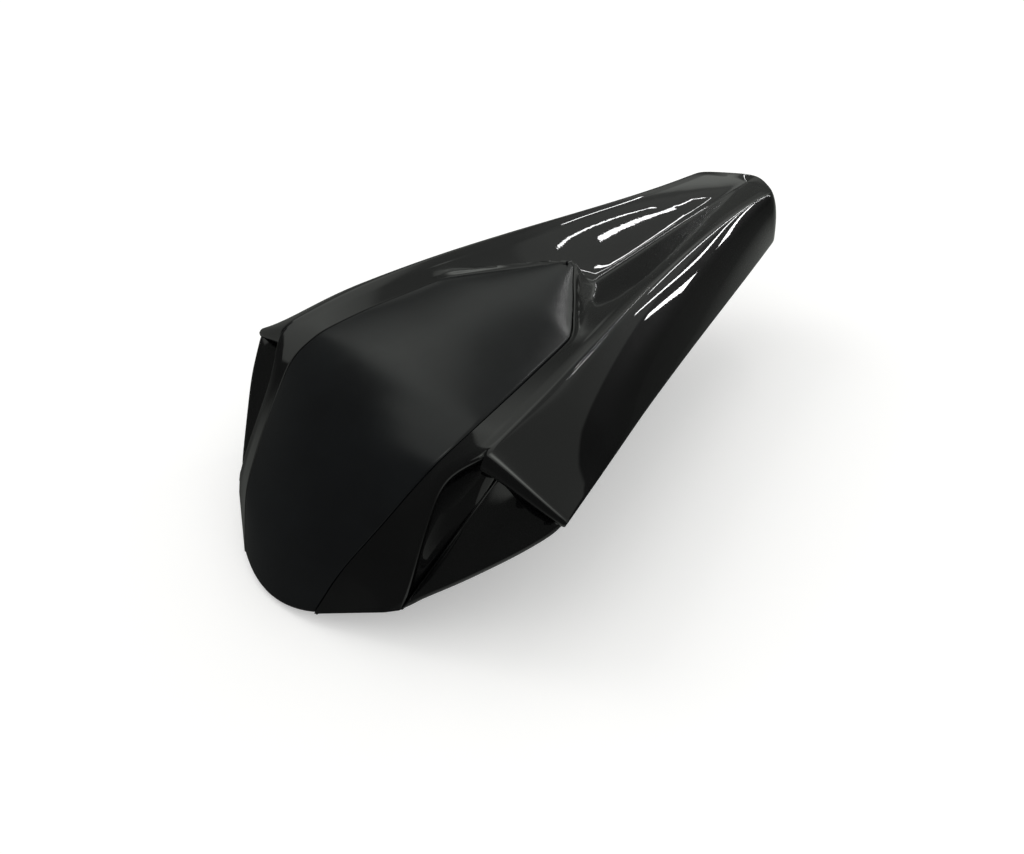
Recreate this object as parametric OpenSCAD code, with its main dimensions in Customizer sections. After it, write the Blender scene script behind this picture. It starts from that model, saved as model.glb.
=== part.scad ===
// Single-seat cowl for a motorcycle tail: gloss outer moulding with two blind side scoops,
// satin insert panel, ribbed base pan, front hook, latch striker and rubber feet.
// X is across the machine, Y runs to the tail, Z is up off the pan, and the origin is on
// the centre of the striker bar.

/* [Main sizes] */
// Width over the wing tips
cowl_w = 250; // [225:5:275]
// Drawn length from the panel's foot to the tail
cowl_l = 388; // [350:2:420]

/* [Outer moulding] */
// Wall thickness of the outer moulding
wall = 3.0; // [2.4:0.2:3.4]
// Width of the rounded band along each top ridge
ridge_band = 5.0; // [4:0.5:7]
// How far each flank bulges past a straight line
flank_bulge = 3.5; // [1:0.5:5]
// Depth of each side scoop behind its mouth
scoop_depth = 46; // [36:1:50]
// Width of the rim left round a scoop mouth
scoop_rim = 4.0; // [3:0.5:5]

/* [Insert panel] */
// Thickness of the insert panel
panel_t = 3.0; // [2.4:0.2:3.4]
// Even gap between the panel and the recess that holds it
panel_gap = 0.3; // [0.2:0.1:0.5]
// Width of the raised rim behind the panel
panel_rim = 2.0; // [1.5:0.5:3]
// Diameter of the posts under the panel
post_d = 5.0; // [4.5:0.5:6]

/* [Base pan] */
// Thickness of the base pan
pan_t = 3.0; // [2.5:0.5:4]
// Height of the stiffening ribs under the pan
rib_h = 7.0; // [5:0.5:9]
// Thickness of the stiffening ribs
rib_t = 2.4; // [2:0.2:3]

/* [Fixings] */
// Shank diameter of the pan screws
screw_d = 5.0; // [4:0.5:5.5]
// Gap between a screw, post or leg and its hole
fit_gap = 0.3; // [0.2:0.1:0.4]
// Diameter of the round striker bar
striker_d = 8.0; // [7:0.5:9]
// Straight length of the striker bar between its bends
striker_len = 20; // [16:1:26]
// Width of the front hook
hook_w = 44; // [36:1:50]
// Sheet thickness of the front hook and the striker plate
sheet_t = 2.5; // [2:0.5:3]
// Diameter of the rubber feet
foot_d = 18; // [16:1:20]
// Height of the rubber feet under the pan
foot_h = 11; // [10:0.5:13]

/* [Hidden] */

gloss = [0.05, 0.05, 0.055];
satin = [0.16, 0.17, 0.18];
pan_grey = [0.22, 0.22, 0.22];
steel = [0.7, 0.7, 0.72];
rubber = [0.1, 0.1, 0.1];

// The tables below are drawn for a cowl of this width and length, and follow the main sizes.
kx = cowl_w / 250;
ky = cowl_l / 388;
// The outer form is drawn with its lower edge rising to the tail; this lean levels the pan.
lean = 4.4;
// Centre of the striker bar in the pan's own frame, measured from the wing tips.
striker_y = 176 * ky;
striker_drop = 24;
// The top of the pan in the same frame.
pan_top = 4.5;
pan_low = pan_top - pan_t;

// Half of the outer form: every line runs from the front foot to the tail, as x, y, z.
// Ridge line: y, then its x and its z.
ridge_x = [[-9, 83], [23, 79], [64, 71], [119, 57], [154, 48], [188, 40], [238, 31], [278, 27]];
ridge_z = [[-9, 20], [23, 28], [64, 35.5], [119, 42.5], [154, 45], [188, 47], [238, 50.5], [278, 52]];
// Lower edge: y, then its x and its z.
edge_x = [[0, 125], [44, 111], [96, 93], [140, 79], [186, 65], [235, 49], [287, 34]];
edge_z = [[0, 0], [44, 5], [96, 9], [140, 11], [186, 14], [235, 17], [287, 22]];
// Floor of the valley between the ridges.
valley_z = [[-9, 8], [36, 13], [60, 16], [84, 18], [120, 19], [145, 21], [164, 25], [223, 36], [278, 46]];
// Side edge of the insert panel: y, then its x and its z.
side_x = [[-18, 61], [-8, 63], [7, 63], [36, 58.5], [61, 53.5], [84, 49]];
side_z = [[-18, 10], [-8, 16], [7, 21.5], [36, 26.5], [61, 30], [84, 33]];
skew = 9;

// The front leg, from the foot up: panel side, pillar inside, pillar outside, lip edge, floor.
front_rows = [
  [[32, -73, -63], [64, -56, -55], [71, -51, -52], [74, -47, -50]],
  [[42, -62, -39], [66, -51, -46], [73, -49, -46], [75, -47, -46]],
  [[51, -44, -17], [65, -37, -24], [71, -35, -24], [92, -33, -34]],
  [[56, -30, -3], [64, -26, -6], [70, -24, -6], [110, -17, -18]],
  [[61, -18, 10], [68, -15, 11], [78, -12, 16], [121, -5, -7]]];
front_mid = [[0, -74, -69], [0, -59, -48], [0, -38, -22], [0, -26, -6], [0, -16, 4]];
rear_y = [-9, 5, 20, 36, 52, 68, 84, 100, 118, 136, 154, 172, 190, 208, 226, 244, 262, 278];

function mix(a, b, t) = a + (b - a) * t;
function unit(v) = v / max(norm(v), 0.001);

// One half row: centre, panel side, ridge inside, ridge outside, two flank points, edge, floor.
function half_row(c, e, ki, ko, w, bulge) =
  [c, e, ki, ko,
    mix(ko, w, 0.33) + bulge * unit([0.5, 0, 1]),
    mix(ko, w, 0.68) + bulge * unit([0.8, 0, 0.8]),
    w, [w[0] * 0.5, w[1], w[2]], [0, w[1], w[2]]];

function front_row(i) = let (r = front_rows[i])
  half_row(front_mid[i], r[0], r[1], r[2], r[3], 0);

function rear_row(y) = let (
    ko = [lookup(y, ridge_x), y, lookup(y, ridge_z)],
    ki = [ko[0] - ridge_band, y, ko[2] - 1],
    c = [0, y, lookup(y, valley_z)],
    e = y <= 84 ? [lookup(y, side_x), y, lookup(y, side_z)] : mix(c, ki, 0.78),
    w = [lookup(y + skew, edge_x), y + skew, lookup(y + skew, edge_z)])
  half_row(c, e, ki, ko, w, flank_bulge * min(1, (y + 9) / 40));

// The blunt arrow-shaped tail end.
tail_row = [[0, 308, 51], [14, 297, 51.5], [23, 289, 52], [28, 285, 51], [33, 284, 44],
  [35, 285, 33], [34, 287, 22], [17, 298, 24], [0, 307, 26]];

outer_half = concat([for (i = [0:4]) front_row(i)], [for (y = rear_y) rear_row(y)], [tail_row]);

function other_side(p) = [-p[0], p[1], p[2]];
function ring(h) = concat(h, [for (k = [7:-1:1]) other_side(h[k])]);
outer_rings = [for (h = outer_half) ring(h)];
rows = len(outer_rings);

// The inner face lies one wall inside the outer face, and runs out past the open underside.
function skin_normal(i, k) = let (
    a = outer_rings[min(i + 1, rows - 1)][k] - outer_rings[max(i - 1, 0)][k],
    b = outer_rings[i][(k + 1) % 16] - outer_rings[i][(k + 15) % 16])
  unit(cross(b, a));
function past(i) = i < 5 ? [0, 9, -12] : [0, 0, -12];
function end_shift(i) = i == 0 ? [0, -4, -12] : i == rows - 1 ? [0, -1.5 * wall, 0] : [0, 0, 0];
inner_rings = [for (i = [0:rows - 1]) [for (k = [0:15]) let (
    p = outer_rings[i][k],
    low = k >= 7 && k <= 9,
    lip = k == 6 || k == 10)
  (low ? p + past(i)
    : lip ? [p[0] - sign(p[0]) * wall, p[1], p[2]] + past(i)
    : p - wall * skin_normal(i, k)) + end_shift(i)]];

// A closed solid through rings of sixteen points, with fan-shaped ends.
module ring_loft(rings) {
  n = len(rings);
  polyhedron(
    points = [for (r = rings) for (p = r) p],
    faces = concat(
      [for (i = [0:n - 2]) for (k = [0:15]) for (f = [
          [i * 16 + (k + 1) % 16, i * 16 + k, (i + 1) * 16 + k],
          [(i + 1) * 16 + (k + 1) % 16, i * 16 + (k + 1) % 16, (i + 1) * 16 + k]]) f],
      [for (k = [0:15]) if (k != 8 && k != 7) [8, k, (k + 1) % 16]],
      [for (k = [0:15]) if (k != 8 && k != 7)
        [(n - 1) * 16 + 8, (n - 1) * 16 + (k + 1) % 16, (n - 1) * 16 + k]]),
    convexity = 8);
}

// Rows of the insert panel from its foot to its rear point: side x, y, z, then middle y, z.
panel_rows = [
  [31, -74, -66, -80, -71], [42, -63, -39, -72, -46], [51, -45, -18, -57, -21],
  [56, -31, -3, -42, -1], [61, -18, 10, -26, 13], [63, -8, 16, -11, 21],
  [63, 7, 21.5, 7, 27], [58.5, 36, 26.5, 36, 33], [53.5, 61, 30, 61, 36.5],
  [49, 82, 33, 84, 39], [37, 95, 35.2, 97, 40], [25, 108, 37.5, 109, 41],
  [13, 120, 40, 121, 41.8], [4, 130, 42, 131, 42.5]];
across = 8;

// One point of the panel's face, grown sideways by g and moved along the face normal by d.
function face_point(r, s, g) = let (q = panel_rows[r], t = 1 - s * s)
  [(q[0] + g) * s, mix(q[1], q[3], t), mix(q[2], q[4], t)];
function face_normal(r, s) = let (
    a = face_point(min(r + 1, 13), s, 0) - face_point(max(r - 1, 0), s, 0),
    b = face_point(r, s + 0.1, 0) - face_point(r, s - 0.1, 0))
  unit(cross(b, a));
function end_grow(r, g) = r == 13 ? [0, g, 0.1 * g] : r == 0 ? [0, -0.3 * g, -g] : [0, 0, 0];
function plate_point(r, s, g, d) =
  face_point(r, s, g) + d * face_normal(r, s) + end_grow(r, g);

// A plate that follows the panel's face between two depths.
module face_plate(g, top, low) {
  n = across + 1;
  m = 14 * n;
  polyhedron(
    points = concat(
      [for (r = [0:13]) for (k = [0:across]) plate_point(r, 2 * k / across - 1, g, top)],
      [for (r = [0:13]) for (k = [0:across]) plate_point(r, 2 * k / across - 1, g, low)]),
    faces = concat(
      [for (r = [0:12]) for (k = [0:across - 1]) let (a = r * n + k) for (f = [
          [a, a + n, a + 1], [a + 1, a + n, a + n + 1],
          [m + a, m + a + 1, m + a + n], [m + a + 1, m + a + n + 1, m + a + n]]) f],
      [for (r = [0:12]) let (a = r * n) for (f = [[a, m + a, a + n], [m + a, m + a + n, a + n]]) f],
      [for (r = [0:12]) let (a = r * n + across) for (f = [[a, a + n, m + a], [m + a, a + n, m + a + n]]) f],
      [for (k = [0:across - 1]) for (f = [[k, k + 1, m + k], [m + k, k + 1, m + k + 1]]) f],
      [for (k = [0:across - 1]) let (a = 13 * n + k) for (f = [[a, m + a, a + 1], [m + a, m + a + 1, a + 1]]) f]),
    convexity = 6);
}

// The raised seat under the panel: a solid that drops from the panel face into the valley.
drop_y = [8, 16, 16, 14, 12, 8, 4, 0, 0, 4, 13, 13, 13, 17];
drop_z = [2, 0, -2, -6, -12, -20, -26, -28, -29, -30, -30, -30, -30, -30];
drop_x = [0, 0, 0, 0, 0, 0, 0, 0, 0, 4, 12, 12, 12, 8];
function under(r, s, g, d) = plate_point(r, s, g, d) + [drop_x[r] * s, drop_y[r], drop_z[r]];
module seat_block(g, top, foot) {
  n = across + 1;
  m = 14 * n;
  polyhedron(
    points = concat(
      [for (r = [0:13]) for (k = [0:across]) plate_point(r, 2 * k / across - 1, g, top) + (r == 0 ? foot : [0, 0, 0])],
      [for (r = [0:13]) for (k = [0:across]) under(r, 2 * k / across - 1, g, top) + (r == 0 ? foot : [0, 0, 0])]),
    faces = concat(
      [for (r = [0:12]) for (k = [0:across - 1]) let (a = r * n + k) for (f = [
          [a, a + n, a + 1], [a + 1, a + n, a + n + 1],
          [m + a, m + a + 1, m + a + n], [m + a + 1, m + a + n + 1, m + a + n]]) f],
      [for (r = [0:12]) let (a = r * n) for (f = [[a, m + a, a + n], [m + a, m + a + n, a + n]]) f],
      [for (r = [0:12]) let (a = r * n + across) for (f = [[a, a + n, m + a], [m + a, a + n, m + a + n]]) f],
      [for (k = [0:across - 1]) for (f = [[k, k + 1, m + k], [m + k, k + 1, m + k + 1]]) f],
      [for (k = [0:across - 1]) let (a = 13 * n + k) for (f = [[a, m + a, a + 1], [m + a, m + a + 1, a + 1]]) f]),
    convexity = 6);
}

// Scoop on one side: mouth corners, then the blind end behind them.
mouth_way = unit([0.3, -0.95, 0.05]);
mouth = [[71, -17, 9], [83, -11.5, 14.5], [109, -8, 2.5], [78, -43, -36.5]];
blind = [[73, -15, 12], [82, -13, 15], [97, -16, 8.5], [78, -30, 11]];
blind_end = [for (p = blind) p + [0, scoop_depth - 8, 0]];
frame_front = [[63, -15, 13], [83, -6, 22], [127, 1, 1], [126, 1, -2], [74, -50, -48], [66, -46, -40]];
module corners(points, r) for (p = points) translate(p) cube(r, center = true);
module scoop_void(side) scale([side, 1, 1]) hull() {
  corners([for (p = mouth) p + 12 * mouth_way], 0.5);
  corners(blind_end, 0.5);
}
module scoop_block(side) scale([side, 1, 1]) hull() {
  corners(frame_front, 0.5);
  corners([for (p = blind_end) p + [p[0] < 80 ? -wall : wall, wall, p[2] > 11.5 ? wall : -1.6 * wall]], 0.5);
}

function to_pan(p) = [p[0] * kx, p[1] * ky * cos(lean) + p[2] * sin(lean), -p[1] * ky * sin(lean) + p[2] * cos(lean)];
module level() rotate([-lean, 0, 0]) scale([kx, ky, 1]) children();
module seated() translate([0, -striker_y, striker_drop]) children();

// Pan screws: x and y on the right-hand side of the pan.
boss_at = [for (b = [[88, 50], [66, 120], [43, 205]]) [b[0] * kx, b[1] * ky]];
boss_d = 11;
bite = 8;
// Panel posts: three on each side, where they leave the panel and where their pads end.
post_top = [for (q = [[6, 0.6], [9, 0.5], [1, 0.55]]) to_pan(plate_point(q[0], q[1], 0, -0.6 * panel_t))];
pad_z = [15, 15];
pad_y = -54 * ky;
pad_d = 13;
post_past = 3;
push_t = 1;

module both_sides() for (s = [-1, 1]) scale([s, 1, 1]) children();

module outer_solid() {
  ring_loft(outer_rings);
  seat_block(panel_rim, 0, [0, 0, 0]);
}

module cowl_shell() color(gloss) seated() difference() {
  union() {
    level() difference() {
      outer_solid();
      ring_loft(inner_rings);
      seat_block(-2.4, -(panel_t + panel_gap + wall), [0, -4, -10]);
    }
    intersection() {
      level() outer_solid();
      union() {
        level() scoop_block(1);
        level() scoop_block(-1);
        for (b = boss_at) for (s = [-1, 1]) hull() {
          translate([s * b[0], b[1], pan_top]) cylinder(d = boss_d, h = 60, $fn = 24);
          translate([s * b[0] * 0.9, b[1], pan_top + 3]) cylinder(d = 3, h = 60, $fn = 12);
        }
        for (k = [0, 1]) for (s = [-1, 1])
          translate([s * post_top[k][0], post_top[k][1], pad_z[k]]) cylinder(d = pad_d, h = 60, $fn = 24);
        for (s = [-1, 1]) translate([s * post_top[2][0], pad_y, post_top[2][2]])
          rotate([90, 0, 0]) cylinder(d = pad_d, h = 60, $fn = 24);
      }
    }
  }
  level() scoop_void(1);
  level() scoop_void(-1);
  level() face_plate(panel_gap, 4, -(panel_t + panel_gap));
  for (b = boss_at) for (s = [-1, 1])
    translate([s * b[0], b[1], pan_top - 1]) cylinder(d = screw_d + 2 * fit_gap, h = bite + 1.5, $fn = 24);
  for (k = [0, 1]) for (s = [-1, 1])
    translate([s * post_top[k][0], post_top[k][1], pad_z[k] - 1]) cylinder(d = post_d + 2 * fit_gap, h = 30, $fn = 24);
  for (s = [-1, 1]) translate([s * post_top[2][0], pad_y + 1, post_top[2][2]])
    rotate([90, 0, 0]) cylinder(d = post_d + 2 * fit_gap, h = 30, $fn = 24);
}

module insert_panel() color(satin) seated() {
  level() face_plate(0, 0, -panel_t);
  for (k = [0, 1]) for (s = [-1, 1])
    translate([s * post_top[k][0], post_top[k][1], pad_z[k] - post_past])
      cylinder(d = post_d, h = post_top[k][2] - pad_z[k] + post_past, $fn = 32);
  for (s = [-1, 1]) translate([s * post_top[2][0], pad_y + post_past, post_top[2][2]])
    rotate([90, 0, 0]) cylinder(d = post_d, h = pad_y + post_past - post_top[2][1], $fn = 32);
}

// Dished push-on nut that grips a panel post.
module push_nut() difference() {
  cylinder(d = pad_d - 1, h = push_t, $fn = 32);
  translate([0, 0, -1]) cylinder(d = post_d + 0.2, h = push_t + 2, $fn = 32);
}
module panel_push_nuts() color(steel) seated() {
  for (k = [0, 1]) for (s = [-1, 1])
    translate([s * post_top[k][0], post_top[k][1], pad_z[k] - push_t]) push_nut();
  for (s = [-1, 1]) translate([s * post_top[2][0], pad_y + push_t, post_top[2][2]])
    rotate([90, 0, 0]) push_nut();
}

// Half outline of the pan, from the front to the tail.
pan_drawn = [[55, -2], [55, 33], [97, 35], [79, 96], [68, 140], [55, 186], [40, 235], [25, 275], [18, 284]];
pan_half = [for (p = pan_drawn) [p[0] * kx, p[1] * ky]];
// The same outline drawn in by the thickness of the rib round its edge.
function rib_line(s) = [for (p = pan_drawn) [s * (p[0] * kx - 1.3 * rib_t),
  p[1] * ky + (p[1] < 0 || p[1] == 35 ? rib_t : p[1] > 280 ? -rib_t : 0)]];
pan_outline = concat(pan_half, [for (i = [len(pan_half) - 1:-1:0]) [-pan_half[i][0], pan_half[i][1]]]);
foot_front = [64 * kx, 62 * ky];
foot_rear = [24 * kx, striker_y + 64 * ky];
pad_at = [50 * kx, 115 * ky];
pad_size = [12, 36];
hook_y = 60 * ky;
hook_screw_x = 12;
hook_screw_d = 6;
stud_d = 6;
bend_r = 10;
leg_x = striker_len / 2 + bend_r;
plate_w = 2 * leg_x + 18;
plate_room = 2;
stem_d = 8;
ring_t = 1.2;
rib_x = plate_w / 2 + plate_room;
rib_y = [88 * ky, striker_y - 34 * ky, striker_y + 40 * ky];
rib_past = 8;
pan_front = -2 * ky;
boss_room = 17;
nut_t = 5;
stud_past = 6.5;

apron_foot = [-46 * ky, -35];

module prism(points, z0, z1) translate([0, 0, z0]) linear_extrude(height = z1 - z0) polygon(points);
module side_cut(points, w) rotate([90, 0, 90]) linear_extrude(height = w, center = true) polygon(points);

module pan_ribs() intersection() {
  prism(pan_outline, pan_low - rib_h, pan_low + 0.5);
  union() {
    difference() {
      prism(pan_outline, pan_low - rib_h, pan_low + 0.5);
      prism(concat(rib_line(1), [for (i = [len(pan_drawn) - 1:-1:0]) rib_line(-1)[i]]), pan_low - rib_h - 1, pan_low + 1);
    }
    for (s = [-1, 1]) translate([s * (rib_x + rib_t / 2) - rib_t / 2, pan_front, pan_low - rib_h]) cube([rib_t, rib_y[2] + rib_past - pan_front, rib_h + 0.5]);
    for (y = rib_y) translate([-cowl_w / 2, y, pan_low - rib_h]) cube([cowl_w, rib_t, rib_h + 0.5]);
  }
}

module base_pan() color(pan_grey) seated() difference() {
  union() {
    prism(pan_outline, pan_low, pan_top);
    difference() {
      pan_ribs();
      for (b = boss_at) for (s = [-1, 1])
        translate([s * b[0], b[1], pan_low - rib_h - 1]) cylinder(d = boss_room, h = rib_h + 1, $fn = 48);
    }
    intersection() {
      side_cut([[pan_front, pan_top], [apron_foot[0], apron_foot[1]], [apron_foot[0], apron_foot[1] - 1.4 * pan_t],
        [pan_front + 1, pan_top - 1.4 * pan_t], [pan_front + 6, pan_low], [pan_front + 6, pan_top]], cowl_w / 2);
      prism([for (p = [[52, 10], [52, -4], [34, -60], [-34, -60], [-52, -4], [-52, 10]]) [p[0] * kx, p[1] * ky]], -cowl_w / 3, 10);
    }
  }
  for (b = boss_at) for (s = [-1, 1])
    translate([s * b[0], b[1], pan_low - 1]) cylinder(d = screw_d + 2 * fit_gap, h = pan_t + 2, $fn = 48);
  for (s = [-1, 1]) {
    translate([s * hook_screw_x, hook_y, pan_low - 1]) cylinder(d = hook_screw_d + 2 * fit_gap, h = pan_t + 2, $fn = 48);
    translate([s * leg_x, striker_y, pan_low - 1]) cylinder(d = stud_d + 2 * fit_gap, h = pan_t + 2, $fn = 48);
    for (f = [foot_front, foot_rear])
      translate([s * f[0], f[1], pan_low - 1]) cylinder(d = stem_d + 2 * fit_gap, h = pan_t + 2, $fn = 48);
  }
}

// Cranked steel hook that slides under a cross tube ahead of the pan.
hook_drop = 14;
hook_reach = 34;
hook_back = hook_y + 14;
hook_web = hook_y - 14;
module front_hook() color(steel) seated() difference() {
  union() {
    translate([-hook_w / 2, hook_web, pan_low - sheet_t]) cube([hook_w, hook_back - hook_web, sheet_t]);
    translate([-hook_w / 2, hook_web, pan_low - hook_drop]) cube([hook_w, sheet_t, hook_drop]);
    translate([-hook_w / 2, hook_web - hook_reach + 10, pan_low - hook_drop]) cube([hook_w, hook_reach - 10 + sheet_t, sheet_t]);
    translate([-hook_w / 2 + 10, hook_web - hook_reach, pan_low - hook_drop]) cube([hook_w - 20, 11, sheet_t]);
    for (s = [-1, 1]) translate([s * (hook_w / 2 - 10), hook_web - hook_reach + 10, pan_low - hook_drop])
      cylinder(r = 10, h = sheet_t, $fn = 48);
  }
  for (s = [-1, 1]) translate([s * hook_screw_x, hook_y, pan_low - sheet_t - 1])
    cylinder(d = hook_screw_d + 2 * fit_gap, h = sheet_t + 2, $fn = 48);
}

// Button-head screw with a hexagon socket, pointing up, with the bearing face at z = 0.
module button_screw(d, reach) difference() {
  union() {
    translate([0, 0, -0.6 * d]) cylinder(d1 = 1.3 * d, d2 = 1.8 * d, h = 0.3 * d, $fn = 48);
    translate([0, 0, -0.3 * d]) cylinder(d = 1.8 * d, h = 0.3 * d, $fn = 48);
    translate([0, 0, -0.1]) cylinder(d = d, h = reach + 0.1, $fn = 48);
  }
  translate([0, 0, -0.7 * d]) cylinder(d = 0.7 * d, h = 0.45 * d, $fn = 6);
}
module flat_ring(inner_d, outer_d, t) difference() {
  cylinder(d = outer_d, h = t, $fn = 48);
  translate([0, 0, -1]) cylinder(d = inner_d, h = t + 2, $fn = 48);
}
module hex_nut(d, t) difference() {
  cylinder(d = 1.9 * d, h = t, $fn = 6);
  translate([0, 0, -1]) cylinder(d = d + 0.1, h = t + 2, $fn = 48);
}

module hook_screws() color(steel) seated() for (s = [-1, 1])
  translate([s * hook_screw_x, hook_y, pan_low - sheet_t]) button_screw(hook_screw_d, sheet_t + pan_t + ring_t + stud_past);
module hook_washers() color(steel) seated() for (s = [-1, 1])
  translate([s * hook_screw_x, hook_y, pan_top]) flat_ring(hook_screw_d + 2 * fit_gap, 2.1 * hook_screw_d, ring_t);
module hook_nuts() color(steel) seated() for (s = [-1, 1])
  translate([s * hook_screw_x, hook_y, pan_top + ring_t]) hex_nut(hook_screw_d, nut_t);

module pan_screws() color(steel) seated() for (b = boss_at) for (s = [-1, 1])
  translate([s * b[0], b[1], pan_low - ring_t]) button_screw(screw_d, ring_t + pan_t + bite - 0.5);
module pan_washers() color(steel) seated() for (b = boss_at) for (s = [-1, 1])
  translate([s * b[0], b[1], pan_low - ring_t]) flat_ring(screw_d + 2 * fit_gap, 13, ring_t);

// Round striker bar bent into a U, with shouldered studs that pass up through plate and pan.
shoulder_z = pan_low - sheet_t;
plate_d = 2 * leg_x - 10;
module bend() rotate([90, 0, 0]) rotate_extrude(angle = 90, $fn = 64) translate([bend_r, 0]) circle(d = striker_d, $fn = 48);
module striker_loop() color(steel) seated() translate([0, striker_y, -striker_drop]) {
  rotate([0, 90, 0]) cylinder(d = striker_d, h = striker_len, center = true, $fn = 64);
  for (s = [-1, 1]) {
    translate([s * striker_len / 2, 0, bend_r]) rotate([0, s > 0 ? 90 : 180, 0]) bend();
    translate([s * leg_x, 0, bend_r]) cylinder(d = striker_d, h = shoulder_z + striker_drop - bend_r, $fn = 64);
    translate([s * leg_x, 0, shoulder_z + striker_drop - 1]) cylinder(d = stud_d, h = sheet_t + pan_t + ring_t + stud_past + 1, $fn = 48);
  }
}
module striker_plate() color(steel) seated() difference() {
  translate([-plate_w / 2, striker_y - plate_d / 2, shoulder_z]) cube([plate_w, plate_d, sheet_t]);
  for (s = [-1, 1]) translate([s * leg_x, striker_y, shoulder_z - 1]) cylinder(d = stud_d + 2 * fit_gap, h = sheet_t + 2, $fn = 48);
}
module striker_washers() color(steel) seated() for (s = [-1, 1])
  translate([s * leg_x, striker_y, pan_top]) flat_ring(stud_d + 2 * fit_gap, 2.1 * stud_d, ring_t);
module striker_nuts() color(steel) seated() for (s = [-1, 1])
  translate([s * leg_x, striker_y, pan_top + ring_t]) hex_nut(stud_d, nut_t);

// Push-in rubber foot: pad below the pan, stem through it, button above it.
module rubber_foot() rotate_extrude($fn = 64) polygon([[0, pan_low - foot_h], [foot_d / 2 - 1.5, pan_low - foot_h],
  [foot_d / 2, pan_low - foot_h + 1.5], [foot_d / 2, pan_low], [stem_d / 2, pan_low], [stem_d / 2, pan_top],
  [stem_d / 2 + 2, pan_top], [stem_d / 2 + 0.5, pan_top + 3], [0, pan_top + 3]]);
module foot_front_left() color(rubber) seated() translate([foot_front[0], foot_front[1], 0]) rubber_foot();
module foot_front_right() color(rubber) seated() translate([-foot_front[0], foot_front[1], 0]) rubber_foot();
module foot_rear_left() color(rubber) seated() translate([foot_rear[0], foot_rear[1], 0]) rubber_foot();
module foot_rear_right() color(rubber) seated() translate([-foot_rear[0], foot_rear[1], 0]) rubber_foot();

// Long rubber pad stuck under each side of the pan.
module side_pad(s) color(rubber) seated() translate([s * pad_at[0] - pad_size[0] / 2, pad_at[1] - pad_size[1] / 2, pan_low - foot_h])
  cube([pad_size[0], pad_size[1], foot_h]);
module side_pad_left() side_pad(1);
module side_pad_right() side_pad(-1);

cowl_shell();
insert_panel();
base_pan();
front_hook();
hook_screws();
hook_washers();
hook_nuts();
striker_loop();
striker_plate();
striker_washers();
striker_nuts();
pan_screws();
pan_washers();
panel_push_nuts();
foot_front_left();
foot_front_right();
foot_rear_left();
foot_rear_right();
side_pad_left();
side_pad_right();
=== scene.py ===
"""Seat cowl: gloss moulding, satin insert panel and the fixings under them.

The forms are drawn in the shape frame, in millimetres: wing tips at y = 0 and z = 0, tail
towards +Y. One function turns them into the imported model's frame, in metres.
"""

import logging  # noqa: E402
import math  # noqa: E402
from dataclasses import dataclass, field  # noqa: E402
from enum import Enum  # noqa: E402

import bpy  # noqa: E402
import numpy as np  # noqa: E402
from mathutils import Matrix, Vector  # noqa: E402


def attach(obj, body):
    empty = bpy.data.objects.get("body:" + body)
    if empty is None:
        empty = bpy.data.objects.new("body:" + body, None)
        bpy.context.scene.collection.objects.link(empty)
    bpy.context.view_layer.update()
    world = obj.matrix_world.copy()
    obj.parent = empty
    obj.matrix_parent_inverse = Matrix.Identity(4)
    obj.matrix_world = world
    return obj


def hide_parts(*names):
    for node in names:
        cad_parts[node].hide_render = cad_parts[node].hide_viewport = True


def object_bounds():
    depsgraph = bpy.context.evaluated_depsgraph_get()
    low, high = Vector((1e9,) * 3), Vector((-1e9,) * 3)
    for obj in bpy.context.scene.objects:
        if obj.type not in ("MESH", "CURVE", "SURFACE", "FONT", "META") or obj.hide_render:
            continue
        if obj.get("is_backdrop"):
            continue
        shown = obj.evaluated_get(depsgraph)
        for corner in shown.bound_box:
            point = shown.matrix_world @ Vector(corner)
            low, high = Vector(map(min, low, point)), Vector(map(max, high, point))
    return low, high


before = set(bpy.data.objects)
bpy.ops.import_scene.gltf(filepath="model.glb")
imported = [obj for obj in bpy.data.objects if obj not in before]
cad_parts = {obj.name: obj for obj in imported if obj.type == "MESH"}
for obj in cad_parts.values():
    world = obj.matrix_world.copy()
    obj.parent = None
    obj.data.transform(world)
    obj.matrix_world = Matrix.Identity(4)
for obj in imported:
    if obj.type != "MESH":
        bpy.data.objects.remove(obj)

Array = np.ndarray
Mesh = tuple[Array, Array]
Socket = bpy.types.NodeSocket
Tree = bpy.types.NodeTree

LOG = logging.getLogger("seat_cowl")
ROOT = "root"

MM = 0.001  # one millimetre in metres
LEAN = math.radians(4.4)  # turn about X that levels the pan
STRIKER = (0.0, -176.0, 24.0)  # shift that puts the striker bar at the origin, in millimetres
STITCH = 0.004  # points that round to the same multiple of this many millimetres are one
SHARP = math.radians(50.0)  # edges steeper than this stay sharp
MIRROR = np.array([-1.0, 1.0, 1.0])
UP = np.array([0.0, 0.0, 1.0])


# ---------------------------------------------------------------- small tools


def to_part(points: Array) -> Array:
    """Turn shape-frame millimetres into part-frame metres.

    With a = LEAN, y' = y cos a + z sin a and z' = z cos a - y sin a, then the shift is added.

    Args:
        points: any array whose last axis is x, y, z in millimetres.

    Returns:
        An array of the same shape in metres.
    """
    x, y, z = points[..., 0], points[..., 1], points[..., 2]
    c, s = math.cos(LEAN), math.sin(LEAN)
    turned = np.stack([x, y * c + z * s, z * c - y * s], axis=-1)
    return (turned + np.array(STRIKER)) * MM


def from_part(points: Array) -> Array:
    """Turn part-frame millimetres back into shape-frame millimetres.

    Args:
        points: any array whose last axis is x, y, z in part-frame millimetres.

    Returns:
        An array of the same shape in shape-frame millimetres.
    """
    q = points - np.array(STRIKER)
    c, s = math.cos(LEAN), math.sin(LEAN)
    return np.stack([q[..., 0], q[..., 1] * c - q[..., 2] * s, q[..., 1] * s + q[..., 2] * c], -1)


def unit(a: Array) -> Array:
    """Return the vectors of a at length one."""
    return a / np.maximum(np.linalg.norm(a, axis=-1, keepdims=True), 1e-9)


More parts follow.
